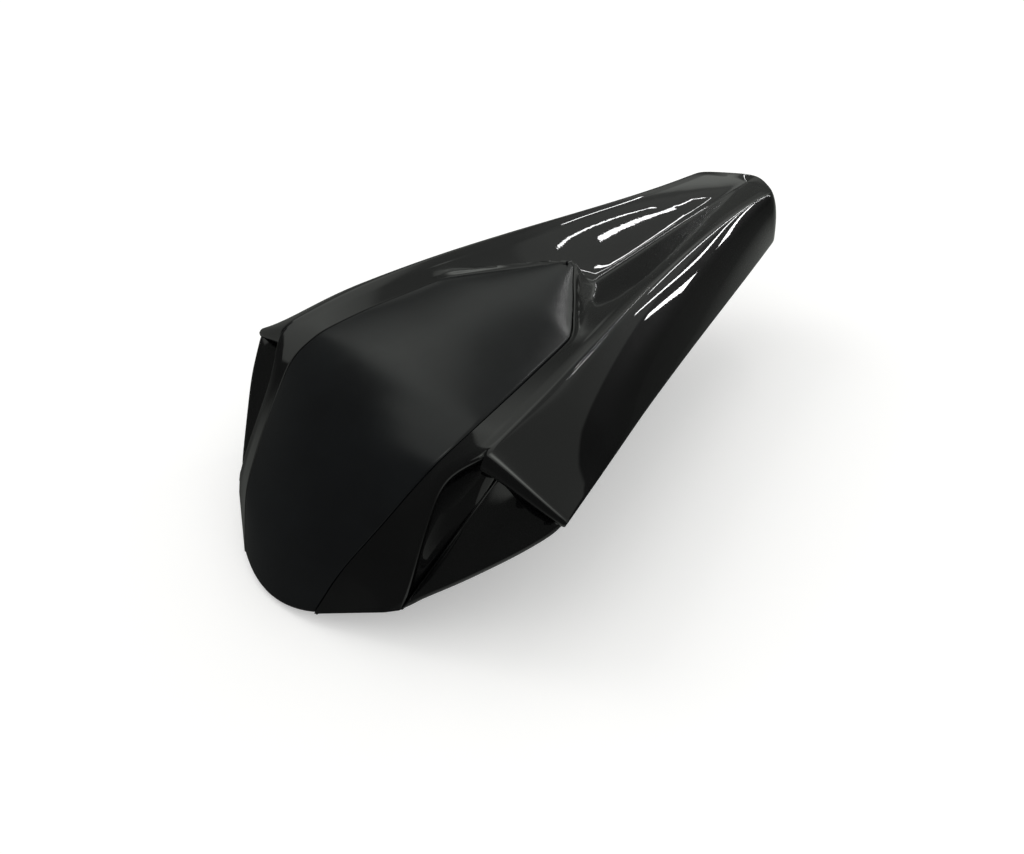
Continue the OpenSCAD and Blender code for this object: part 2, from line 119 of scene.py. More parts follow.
def mix(a: Array, b: Array, t: Array | float) -> Array:
    """Return the point a share t of the way from a to b."""
    return a + (b - a) * t


def read(table: tuple, at: Array) -> Array:
    """Return the table's second column where its first is at, straight between its rows."""
    return np.interp(at, *np.array(table, dtype=float).T)


def smooth_max(a: Array, b: Array, k: float) -> Array:
    """Return max(a, b) with the corner between them rounded over about k millimetres."""
    return 0.5 * (a + b + np.sqrt((a - b) ** 2 + k * k))


def step(x: Array, low: float, high: float) -> Array:
    """Return 0 below low, 1 above high and 3t^2 - 2t^3 between them."""
    t = np.clip((x - low) / (high - low), 0.0, 1.0)
    return t * t * (3.0 - 2.0 * t)


def between(x: Array, rise: tuple[float, float], fall: tuple[float, float]) -> Array:
    """Return 1 from the end of rise to the start of fall and 0 outside both, with soft sides."""
    return step(x, *rise) * (1 - step(x, *fall))


def patch(x: Array, y: Array, middle: tuple[float, float], size: tuple[float, float]) -> Array:
    """Return a soft patch exp(-(dx/a)^2 - (dy/b)^2) that is 1 at its middle."""
    return np.exp(-(((x - middle[0]) / size[0]) ** 2) - ((y - middle[1]) / size[1]) ** 2)


def rounded_line(knots: Array, at: Array, reach: float) -> Array:
    """Sample a polyline whose corners are rounded by averaging it twice along itself.

    The line runs straight from knot to knot, is averaged over a window of plus and
    minus reach knots two times, and is read at the wanted knot numbers.

    Args:
        knots: corner points, one row each.
        at: knot numbers, which may be fractions.
        reach: half width of the window in knots.

    Returns:
        One point for each number in at.
    """
    fine = 40  # samples from knot to knot
    n = len(knots)
    u = np.arange(-2 * fine, (n + 1) * fine + 1) / fine
    i = np.clip(np.floor(u).astype(int), 0, n - 2)
    f = (u - i)[:, None]
    line = knots[i] * (1 - f) + knots[i + 1] * f
    kernel = np.ones(2 * max(1, int(reach * fine)) + 1)
    kernel /= kernel.sum()
    columns = []
    for k in range(line.shape[1]):
        once = np.convolve(line[:, k], kernel, "same")
        columns.append(np.interp(at, u, np.convolve(once, kernel, "same")))
    return np.stack(columns, axis=-1)


def rounded_loop(points: Array, width: int) -> Array:
    """Average a closed loop of points over plus and minus width neighbours, twice.

    Args:
        points: the loop, one row each.
        width: how many neighbours on each side are taken in.

    Returns:
        As many points as the loop has.
    """
    for _ in range(2):
        near = sum(np.roll(points, k, axis=0) for k in range(-width, width + 1))
        points = near / (2 * width + 1)
    return points


def bend(start: Array, corner: Array, end: Array, n: int) -> Array:
    """Return n + 1 rows of a quadratic curve from start to end that is drawn to corner."""
    t = np.linspace(0, 1, n + 1).reshape((-1,) + (1,) * start.ndim)
    return (1 - t) ** 2 * start + 2 * t * (1 - t) * corner + t * t * end


def cubic(a: Array, b: Array, c: Array, d: Array, n: int) -> Array:
    """Return n + 1 rows of the cubic curve with the control points a, b, c and d."""
    t = np.linspace(0, 1, n + 1).reshape((-1,) + (1,) * a.ndim)
    return (1 - t) ** 3 * a + 3 * t * (1 - t) ** 2 * b + 3 * t * t * (1 - t) * c + t**3 * d


@dataclass
class Skin:
    """Grids of points that are stitched into one mesh where their edges coincide."""

    points: list[Array] = field(default_factory=list)
    quads: list[Array] = field(default_factory=list)
    depth: list[Array] = field(default_factory=list)
    count: int = 0

    def grid(self, rows: Array, wall: Array | float, flip: bool = True) -> None:
        """Add an m by n grid of points, with the wall's thickness at each point.

        Args:
            rows: points, m by n by 3, in shape-frame millimetres.
            wall: thickness in millimetres, of any shape that spreads to m by n.
            flip: True faces rows cross columns, False the other way.
        """
        m, n = rows.shape[:2]
        index = np.arange(m * n).reshape(m, n) + self.count
        a, b, c, d = index[:-1, :-1], index[1:, :-1], index[1:, 1:], index[:-1, 1:]
        order = (a, d, c, b) if flip else (a, b, c, d)
        self.points.append(rows.reshape(-1, 3))
        self.quads.append(np.stack(order, axis=-1).reshape(-1, 4))
        self.depth.append(np.broadcast_to(wall, (m, n)).reshape(-1).astype(float))
        self.count += m * n

    def mirrored(self) -> "Skin":
        """Add the mirror image across x = 0.

        Returns:
            A new skin that holds this one and its image.
        """
        both = Skin(list(self.points), list(self.quads), list(self.depth), 2 * self.count)
        for p, q, w in zip(self.points, self.quads, self.depth, strict=True):
            both.points.append(p * MIRROR)
            both.quads.append(q[:, ::-1] + self.count)
            both.depth.append(w)
        return both

    def stitched(self) -> tuple[Array, Array, Array]:
        """Merge the points that coincide and split the quads into triangles.

        Returns:
            The points, the triangles and the wall's thickness at each point.
        """
        p, q = np.concatenate(self.points), np.concatenate(self.quads)
        w = np.concatenate(self.depth)
        p[np.abs(p[:, 0]) < STITCH, 0] = 0.0
        key = np.round(p / STITCH).astype(np.int64)
        _, first, inverse = np.unique(key, axis=0, return_index=True, return_inverse=True)
        q = inverse.reshape(-1)[q]
        tri = np.concatenate([q[:, [0, 1, 2]], q[:, [0, 2, 3]]])
        whole = (tri[:, 0] != tri[:, 1]) & (tri[:, 1] != tri[:, 2]) & (tri[:, 2] != tri[:, 0])
        return p[first], tri[whole], w[first]


def point_normals(p: Array, tri: Array) -> Array:
    """Work out the area-weighted normal at each point of a triangle mesh.

    Args:
        p: points.
        tri: triangles.

    Returns:
        One unit vector for each point.
    """
    n = np.cross(p[tri[:, 1]] - p[tri[:, 0]], p[tri[:, 2]] - p[tri[:, 0]])
    out = np.zeros_like(p)
    for k in range(3):
        np.add.at(out, tri[:, k], n)
    return unit(out)


def thicken(p: Array, tri: Array, wall: Array) -> Mesh:
    """Give an open skin its wall: an inner copy, turned round, and a rim along each free edge.

    Each point moves in against its normal by its own wall thickness.

    Args:
        p: points.
        tri: triangles that face outwards.
        wall: thickness at each point.

    Returns:
        The points and triangles of the closed solid, first the skin's own points.
    """
    inner = p - point_normals(p, tri) * wall[:, None]
    n = len(p)
    edges = np.concatenate([tri[:, [0, 1]], tri[:, [1, 2]], tri[:, [2, 0]]])
    key = np.sort(edges, axis=1)
    code = key[:, 0].astype(np.int64) * n + key[:, 1]
    _, index, used = np.unique(code, return_index=True, return_counts=True)
    a, b = edges[index[used == 1]].T
    rim = np.concatenate([np.stack([b, a, a + n], 1), np.stack([b, a + n, b + n], 1)])
    return np.concatenate([p, inner]), np.concatenate([tri, tri[:, ::-1] + n, rim])


def join(parts: list[Mesh]) -> Mesh:
    """Put several meshes into one.

    Args:
        parts: points and triangles of each.

    Returns:
        The points and triangles of all of them.
    """
    shift = np.cumsum([0] + [len(p) for p, _ in parts[:-1]])
    tri = [t + s for (_, t), s in zip(parts, shift, strict=True)]
    return np.concatenate([p for p, _ in parts]), np.concatenate(tri)


def make_piece(name: str, p: Array, tri: Array, material: bpy.types.Material) -> bpy.types.Object:
    """Make a Blender object at the origin from shape-frame points and triangles.

    Args:
        name: the piece's name.
        p: points in millimetres.
        tri: triangles.
        material: its finish.

    Returns:
        The linked object.
    """
    mesh = bpy.data.meshes.new(name)
    place = to_part(p)
    mesh.vertices.add(len(place))
    mesh.vertices.foreach_set("co", place.reshape(-1).astype(np.float32))
    mesh.loops.add(len(tri) * 3)
    mesh.loops.foreach_set("vertex_index", tri.reshape(-1).astype(np.int32))
    mesh.polygons.add(len(tri))
    mesh.polygons.foreach_set("loop_start", np.arange(0, len(tri) * 3, 3, dtype=np.int32))
    mesh.polygons.foreach_set("use_smooth", np.ones(len(tri), dtype=bool))
    mesh.update(calc_edges=True)
    mesh.validate()
    mesh.set_sharp_from_angle(angle=SHARP)
    mesh.materials.append(material)
    piece = bpy.data.objects.new(name, mesh)
    bpy.context.scene.collection.objects.link(piece)
    return piece


# ---------------------------------------------------------------- the form


@dataclass
class CowlForm:
    """Lines of the moulding, half side, with one knot number shared by all of them.

    Knots 0 to 4 climb the front leg, 5 to 22 run back along the ridge, and 23 to 25 turn
    round the tail to the middle; 26 and 27 are the first knots of the other half, so that
    the tail's middle is rounded too. The lines are ki and ko, the ridge's inner and outer
    corners, w, the flank's lower edge, e, the panel's side, and m, the panel's middle.
    """

    # tables of y and x, or y and z, along the ridge, the lower edge, the valley and the panel
    ridge_x: tuple = (
        (-9, 83), (23, 79), (64, 71), (119, 57), (154, 48), (188, 40), (238, 31), (278, 27))
    ridge_z: tuple = (
        (-9, 20), (23, 28), (64, 35.5), (119, 42.5), (154, 45), (188, 47), (238, 50.5), (278, 52))
    edge_x: tuple = ((0, 125), (44, 111), (96, 93), (140, 79), (186, 65), (235, 49), (287, 34))
    edge_z: tuple = ((0, 0), (44, 5), (96, 9), (140, 11), (186, 14), (235, 17), (287, 22))
    valley_z: tuple = ((-9, 8), (36, 13), (60, 16), (84, 18), (120, 19), (145, 21))
    side_x: tuple = ((-18, 61), (-8, 63), (7, 63), (36, 58.5), (61, 53.5), (84, 49))
    side_z: tuple = ((-18, 10), (-8, 16), (7, 21.5), (36, 26.5), (61, 30), (84, 33))
    # y of knots 5 to 22, and how much further back the lower edge's knots lie
    rear_y: tuple = (
        -9, 5, 20, 36, 52, 68, 84, 100, 118, 136, 154, 172, 190, 208, 226, 244, 262, 278)
    skew: tuple = (9, 9, 9, 9, 9, 9, 9, 9, 9, 9, 9, 9, 9, 9, 8, 6, 4, 2)
    # points of the leg, of the scoop's lower lip, of the panel's outline and of the tail
    front_inner: tuple = (
        (64, -56, -55), (66, -51.5, -46), (65, -40.5, -24), (64, -32, -8), (64.5, -21.5, 9))
    front_outer: tuple = (
        (71, -51, -52), (72.5, -48.5, -45), (70.5, -38.5, -24), (69.5, -30.5, -9),
        (69, -21.5, 8.5))
    front_lip: tuple = (
        (125, 0, 0), (121, -5, -7), (110, -17, -18), (92, -33, -34), (78, -45, -45),
        (74, -48, -49))
    panel_front: tuple = (
        (31, -74, -66), (42, -63, -39), (51, -45, -18), (56, -31, -3), (61, -18, 10))
    panel_rear: tuple = (
        (49, 82, 33), (36.5, 95.5, 35.3), (24.5, 108.5, 37.6), (13, 120, 40), (5, 129, 41.8))
    panel_mid: tuple = (
        (-80, -71), (-72, -46), (-57, -21), (-42, -1), (-26, 13), (-12, 20.6), (5, 26.4),
        (20, 29.8), (36, 33), (52, 35.3), (68, 37.3), (84, 39), (97.5, 40), (109.5, 41),
        (121, 41.8), (130, 42.4))
    apex: tuple = (0.0, 131.6, 42.5)
    tail_outer: tuple = ((27.6, 286.5, 51.6), (14, 297.6, 51.3), (0, 308.5, 51.0))
    tail_inner: tuple = ((21.4, 283.5, 51.0), (11, 291.8, 50.6), (0, 301.0, 50.2))
    tail_low: tuple = ((34.0, 287.0, 22.0), (17, 298, 24), (0, 308.5, 26.0))
    # the valley: its middle line's y, height and rise, its walls' and facets' rise, its crease
    middle: tuple = (164.0, 25.0, 0.1815)
    wall_rise: float = 0.475
    facet_rise: float = 0.2
    crease: float = 1.2
    # the raised seat's rear walls: where one starts, which way it faces and how fast it falls
    wall_from: tuple = (49.0, 82.0)
    wall_way: tuple = (0.729, 0.684)
    wall_fall: float = 2.1
    band: float = 5.0
    band_drop: float = 1.0
    bulge: float = 3.5
    panel_t: float = 3.0
    gap: float = 0.3
    rim: float = 2.0
    behind: tuple = (10.4, 11.6)

    def line_y(self, table: tuple, y: Array) -> Array:
        """Read a table at y, carried straight on past both of its ends.

        Args:
            table: rows of y and value.
            y: places.

        Returns:
            The value at each place.
        """
        t = np.array(table, dtype=float)
        low = (t[1, 1] - t[0, 1]) / (t[1, 0] - t[0, 0])
        high = (t[-1, 1] - t[-2, 1]) / (t[-1, 0] - t[-2, 0])
        past = low * np.minimum(y - t[0, 0], 0), high * np.maximum(y - t[-1, 0], 0)
        return read(table, y) + past[0] + past[1]

    def soft_y(self, table: tuple, y: Array) -> Array:
        """Read a table at y with its corners rounded.

        It is the weighted mean of line_y over a window of 24 mm each way, where the weight
        falls straight off from the middle.

        Args:
            table: rows of y and value.
            y: places.

        Returns:
            The value at each place.
        """
        spread = np.linspace(-24.0, 24.0, 13)
        weight = 1.0 - np.abs(spread) / 28.0
        total = sum(w * self.line_y(table, y + s) for s, w in zip(spread, weight, strict=True))
        return total / weight.sum()

    def fair_y(self, table: tuple, y: Array) -> Array:
        """Read a table at y, fair enough for a mirror gloss.

        Behind y = 110 it is the cubic a + b y + c y^2 + d y^3 that fits the table's rows from
        y = 40 on best, ahead of y = 60 it is soft_y, and between them it goes over from one
        to the other.

        Args:
            table: rows of y and value.
            y: places.

        Returns:
            The value at each place.
        """
        t = np.array(table, dtype=float)
        t = t[t[:, 0] > 40]
        centre = 180  # the fit is made about here, which keeps its numbers small
        fit = np.polyfit(t[:, 0] - centre, t[:, 1], 3)
        return mix(self.soft_y(table, y), np.polyval(fit, y - centre), step(y, 60, 110))

    def valley(self, x: Array, y: Array) -> Array:
        """Height of the valley between the ridges.

        The wall is the straight line c(y) + b |x|, where c is the middle line, and b takes
        it up to the ridge's inner height k at the half width w. Behind y = 160 both c's rise
        and b stay the same, so that the wall is one plane, which mirrors cleanly. Where the
        plane would pass over the ridge, a flatter facet k + 0.2 (|x| - w) cuts it off. |x| is
        rounded over 1.2 mm, which gives the middle its crease.

        Args:
            x: places across.
            y: places along.

        Returns:
            z at each place.
        """
        w = self.fair_y(self.ridge_x, y) - self.band
        k = self.fair_y(self.ridge_z, y) - self.band_drop
        y_0, z_0, rise = self.middle
        front = self.soft_y(self.valley_z, np.minimum(y, 120.0))
        c = smooth_max(z_0 + rise * (y - y_0), front, 1.6)
        slope = mix((k - c) / w, self.wall_rise, step(y, 128, 160))
        wall = c + slope * np.sqrt(x * x + self.crease**2)
        facet = k + 0.7 + self.facet_rise * (np.abs(x) - w)
        return wall + facet - smooth_max(wall, facet, self.crease)

    def island(self, x: Array, y: Array) -> Array:
        """Height of the raised seat: the panel's face carried on, and its two rear walls.

        The face is 39.2 + 0.071 (y - 84) - 6.2 (x / 49)^2. Past the walls' edge it falls by
        2.1 (sqrt(d^2 + 1) - 1), where d is the distance out from the edge.

        Args:
            x: places across.
            y: places along.

        Returns:
            z at each place.
        """
        x_0, y_0 = self.wall_from
        across, back = self.wall_way
        right = (np.abs(x) - x_0) * across + (y - y_0) * back
        left = (-np.abs(x) - x_0) * across + (y - y_0) * back
        edge = smooth_max(right, left, 9.0) - 0.9
        out = np.maximum(edge - self.rim - self.gap, 0.0)
        face = 39.2 + 0.071 * (y - 84) - 6.2 * (x / x_0) ** 2
        return face - self.wall_fall * (np.sqrt(out * out + 1.0) - 1.0)

    def knots(self) -> dict[str, Array]:
        """Work out the corner points of the shared lines.

        Returns:
            The points of each line, by its name.
        """
        y = np.array(self.rear_y, dtype=float)
        ko = np.stack([self.fair_y(self.ridge_x, y), y, self.fair_y(self.ridge_z, y)], -1)
        ki = ko - np.array([self.band, 0.0, self.band_drop])
        low = y + np.array(self.skew, dtype=float)
        w = np.stack([self.fair_y(self.edge_x, low), low, self.fair_y(self.edge_z, low)], -1)
        ahead = y[:6]
        side = np.stack([read(self.side_x, ahead), ahead, read(self.side_z, ahead)], -1)
        rear = np.array(self.panel_rear, dtype=float)
        mid = np.array(self.panel_mid, dtype=float)
        share = np.linspace(0, 1, 10)[:, None]
        fan_from = rear[-1] * np.array([0.72, 1, 1]) + np.array([0, 0.9, 0.2])
        fan = mix(fan_from, np.array(self.apex), share)
        ahead_of_fan = mid[-1] + np.array([0.8, 0.05])
        mid = np.concatenate([mid, mix(ahead_of_fan, np.array(self.apex[1:]), share)])

        def closed(*parts: Array | tuple) -> Array:
            """Join the parts of a line and carry it on into the other half."""
            a = np.concatenate([np.array(part, dtype=float) for part in parts])
            return np.concatenate([a, a[-2:-4:-1] * MIRROR])

        return {
            "ki": closed(self.front_inner, ki, self.tail_inner),
            "ko": closed(self.front_outer, ko, self.tail_outer),
            "w": closed(np.repeat(w[:1], 5, axis=0), w, self.tail_low),
            "e": closed(self.panel_front, side, rear, fan),
            "m": closed(np.insert(mid, 0, 0.0, axis=1)),
        }

    def lines(self, v: Array) -> dict[str, Array]:
        """Sample the shared lines, with their corners rounded.

        The lower edge runs straight up to the wing tip, and behind the panel's rear corner
        the ridge's inner corner takes the valley's height.

        Args:
            v: knot numbers.

        Returns:
            One point for each knot number, by the line's name.
        """
        k = self.knots()
        reach = {"ki": 0.5, "ko": 0.5, "m": 0.5, "w": 0.5, "e": 0.3}
        out = {name: rounded_line(k[name], v, r) for name, r in reach.items()}
        tip = v <= 5.5
        out["w"][tip] = k["w"][5] + (k["w"][6] - k["w"][5]) * (v[tip, None] - 5)
        level = self.valley(out["ki"][:, 0], out["ki"][:, 1])
        out["ki"][:, 2] = mix(out["ki"][:, 2], level, step(v, *self.behind))
        return out

    def face(self, v: Array, s: Array) -> Array:
        """Face of the insert panel: each row is a parabola from its side point to its middle.

        x = s e_x, and y and z go from the side to the middle with 1 - s^2.

        Args:
            v: knot numbers, one for each row.
            s: shares of the half width, one for each column.

        Returns:
            Points, rows by columns by 3.
        """
        line = self.lines(v)
        e, m = line["e"][:, None, :], line["m"][:, None, :]
        s = s[None, :, None]
        return np.concatenate([e[..., :1] * s, mix(e[..., 1:], m[..., 1:], 1 - s * s)], axis=-1)

    def face_normal(self, v: Array, s: Array) -> Array:
        """Outward normal of the panel's face; past knot 15 the last full row's normal is kept.

        Args:
            v: knot numbers, one for each row.
            s: shares of the half width, one for each column.

        Returns:
            Unit vectors, rows by columns by 3.
        """
        h = 0.02
        u = np.minimum(v, 15.0)
        along = self.face(u + h, s) - self.face(u - h, s)
        over = self.face(u, s + h) - self.face(u, s - h)
        return unit(np.cross(over, along))


# ---------------------------------------------------------------- finishes


def linear(code: str) -> tuple[float, float, float, float]:
    """Turn an sRGB hex colour into Blender's linear values, with alpha 1."""
    parts = [int(code[i : i + 2], 16) / 255 for i in (1, 3, 5)]
    return (*(c / 12.92 if c <= 0.04045 else ((c + 0.055) / 1.055) ** 2.4 for c in parts), 1.0)


def add_node(
    tree: Tree, kind: str, settings: dict | None = None, inputs: dict | None = None
) -> bpy.types.Node:
    """Add a node, set its properties, and set or link its inputs.

    Args:
        tree: the node tree.
        kind: the node's type name.
        settings: attribute values.
        inputs: value, or output socket to link, for each input's name or number.

    Returns:
        The node.
    """
    node = tree.nodes.new(kind)
    for key, value in (settings or {}).items():
        setattr(node, key, value)
    for key, value in (inputs or {}).items():
        if isinstance(value, Socket):
            tree.links.new(value, node.inputs[key])
        else:
            node.inputs[key].default_value = value
    return node


def new_tree(owner: bpy.types.Material | bpy.types.World) -> Tree:
    """Switch a new material or world to nodes and empty its node tree.

    Args:
        owner: the material or world.

    Returns:
        The empty tree.
    """
    owner.use_nodes = True
    owner.node_tree.nodes.clear()
    return owner.node_tree


class Process(Enum):
    """How a surface was made, which sets its pattern."""

    LACQUERED = "lacquered"
    SATIN = "satin"
    GRAINED = "grained"
    COATED = "coated"
    PLATED = "plated"
    DRAWN = "drawn"
    SPRUNG = "sprung"
    RUBBER = "rubber"


@dataclass(frozen=True)
class Finish:
    """One real finish: its colours, its gloss and the real size of its pattern in millimetres."""

    name: str
    process: Process
    dark: str
    light: str
    metallic: float
    rough_low: float
    rough_high: float
    grain_mm: float
    bump_mm: float
    coat: float = 0.0
    coat_rough: float = 0.03
    ior: float = 1.5
    under: float = 0.5
    cloud_mm: float = 1000.0 / 28.0
    mark_mm: float = 1000.0 / 90.0
    spangle_mm: float = 1000.0 / 900.0
    peel_mm: float = 1000.0 / 330.0
    peel_deep_mm: float = 0.0025

    def grain(self, tree: Tree, place: Socket) -> Socket:
        """Add the process's fine pattern: noise, pebbled cells or lines along the bar.

        Args:
            tree: the material's node tree.
            place: the Object coordinates.

        Returns:
            The pattern's height.
        """
        scale = 1000.0 / self.grain_mm
        cells = add_node(tree, "ShaderNodeTexVoronoi", {"feature": "F1"}, {
            "Vector": place, "Scale": scale}) if self.process is Process.GRAINED else None
        if self.process is Process.DRAWN:
            stretch = {"Vector": place, "Scale": (0.04, 1.0, 1.0)}
            place = add_node(tree, "ShaderNodeMapping", {}, stretch).outputs[0]
        fine = add_node(tree, "ShaderNodeTexNoise", {}, {
            "Vector": place, "Scale": scale, "Detail": 3.0, "Roughness": 0.55}).outputs["Fac"]
        if cells is None:
            return fine
        return add_node(tree, "ShaderNodeMath", {"operation": "MULTIPLY"}, {
            0: cells.outputs["Distance"], 1: fine}).outputs[0]

    def colour(self, tree: Tree, place: Socket) -> Socket:
        """Add the drift between the two colours: broad clouds, and spangle on plating.

        Args:
            tree: the material's node tree.
            place: the Object coordinates.

        Returns:
            The colour.
        """
        cloud = add_node(tree, "ShaderNodeTexNoise", {}, {
            "Vector": place, "Scale": 1000.0 / self.cloud_mm, "Detail": 4.0, "Roughness": 0.6})
        value, low, high = cloud.outputs["Fac"], 0.3, 0.7
        if self.process is Process.PLATED:
            spangle = add_node(tree, "ShaderNodeTexVoronoi", {"feature": "F1"}, {
                "Vector": place, "Scale": 1000.0 / self.spangle_mm})
            value = add_node(tree, "ShaderNodeMath", {"operation": "ADD"}, {
                0: value, 1: spangle.outputs["Distance"]}).outputs[0]
            low, high = 0.35, 1.2
        share = add_node(tree, "ShaderNodeMapRange", {}, {
            "Value": value, "From Min": low, "From Max": high})
        blend = add_node(tree, "ShaderNodeMix", {"data_type": "RGBA"}, {
            0: share.outputs[0], 6: linear(self.dark), 7: linear(self.light)})
        return blend.outputs[2]

    def make(self) -> bpy.types.Material:
        """Build the material from Object coordinates.

        Clouds drift the colour, smaller marks vary the roughness, the grain gives the bump,
        and a lacquer has an orange peel of its own.

        Returns:
            The material.
        """
        material = bpy.data.materials.new(self.name)
        material.diffuse_color = linear(self.light)
        tree = new_tree(material)
        place = add_node(tree, "ShaderNodeTexCoord").outputs["Object"]
        marks = add_node(tree, "ShaderNodeTexNoise", {}, {
            "Vector": place, "Scale": 1000.0 / self.mark_mm, "Detail": 5.0, "Roughness": 0.7})
        rough = add_node(tree, "ShaderNodeMapRange", {}, {
            "Value": marks.outputs["Fac"], "From Min": 0.3, "From Max": 0.7,
            "To Min": self.rough_low, "To Max": self.rough_high})
        bump = add_node(tree, "ShaderNodeBump", {}, {
            "Strength": 1.0, "Distance": self.bump_mm * MM, "Height": self.grain(tree, place)})
        shader = add_node(tree, "ShaderNodeBsdfPrincipled", {}, {
            "Base Color": self.colour(tree, place),
            "Metallic": self.metallic,
            "Roughness": rough.outputs[0],
            "IOR": self.ior,
            "Specular IOR Level": self.under,
            "Coat Weight": self.coat,
            "Coat Roughness": self.coat_rough,
            "Coat IOR": 1.5,
            "Normal": bump.outputs[0],
        })
        if self.coat:
            peel = add_node(tree, "ShaderNodeTexNoise", {}, {
                "Vector": place, "Scale": 1000.0 / self.peel_mm, "Detail": 1.0})
            skin = add_node(tree, "ShaderNodeBump", {}, {
                "Strength": 1.0, "Distance": self.peel_deep_mm * MM,
                "Height": peel.outputs["Fac"]})
            tree.links.new(skin.outputs[0], shader.inputs["Coat Normal"])
        add_node(tree, "ShaderNodeOutputMaterial", {}, {"Surface": shader.outputs[0]})
        return material


# Black ABS, sprayed and clear-lacquered: deep, with the faint orange peel of the lacquer.
LACQUERED_ABS = Finish(
    "lacquered_abs_black", Process.LACQUERED, "#040405", "#070708", metallic=0.0,
    rough_low=0.3, rough_high=0.38, grain_mm=1.2, bump_mm=0.0006,
    coat=1.0, coat_rough=0.012, under=0.08)
# Black ABS under a satin lacquer: even, slightly blue, with a dry fine tooth.
SATIN_ABS = Finish(
    "satin_lacquered_abs_black", Process.SATIN, "#0b0c0e", "#0f1113", metallic=0.0,
    rough_low=0.2, rough_high=0.25, grain_mm=0.6, bump_mm=0.0012, ior=1.46)
# Glass-filled nylon from a spark-eroded mould: grey-black, dull, pebbled.
FILLED_NYLON = Finish(
    "moulded_filled_nylon", Process.GRAINED, "#191a1b", "#242526", metallic=0.0,
    rough_low=0.5, rough_high=0.68, grain_mm=0.9, bump_mm=0.05)
# Pressed steel under black electrocoat: soft sheen, a little pimpled.
COATED_STEEL = Finish(
    "electrocoated_steel_black", Process.COATED, "#101112", "#191a1b", metallic=0.0,
    rough_low=0.3, rough_high=0.46, grain_mm=0.9, bump_mm=0.012, coat=0.3, coat_rough=0.2)
# Zinc-plated steel, clear passivated: pale blue-grey with a fine spangle.
ZINC_STEEL = Finish(
    "zinc_plated_steel", Process.PLATED, "#8f959a", "#c3c7c9", metallic=1.0,
    rough_low=0.24, rough_high=0.42, grain_mm=0.5, bump_mm=0.006)
# Drawn bright steel bar: fine lines along the bar.
DRAWN_STEEL = Finish(
    "drawn_bright_steel", Process.DRAWN, "#8c8e90", "#b9bbbc", metallic=1.0,
    rough_low=0.16, rough_high=0.3, grain_mm=0.35, bump_mm=0.01)
# Tempered spring steel, oiled black: brown-grey, half bright.
SPRING_STEEL = Finish(
    "oiled_spring_steel", Process.SPRUNG, "#2b2927", "#45423e", metallic=0.9,
    rough_low=0.3, rough_high=0.45, grain_mm=0.6, bump_mm=0.006)
# Moulded black rubber: dull, faintly bloomed.
MOULDED_RUBBER = Finish(
    "moulded_rubber", Process.RUBBER, "#131313", "#1f1f1e", metallic=0.0,
    rough_low=0.62, rough_high=0.8, grain_mm=0.7, bump_mm=0.03)


# ---------------------------------------------------------------- outer moulding


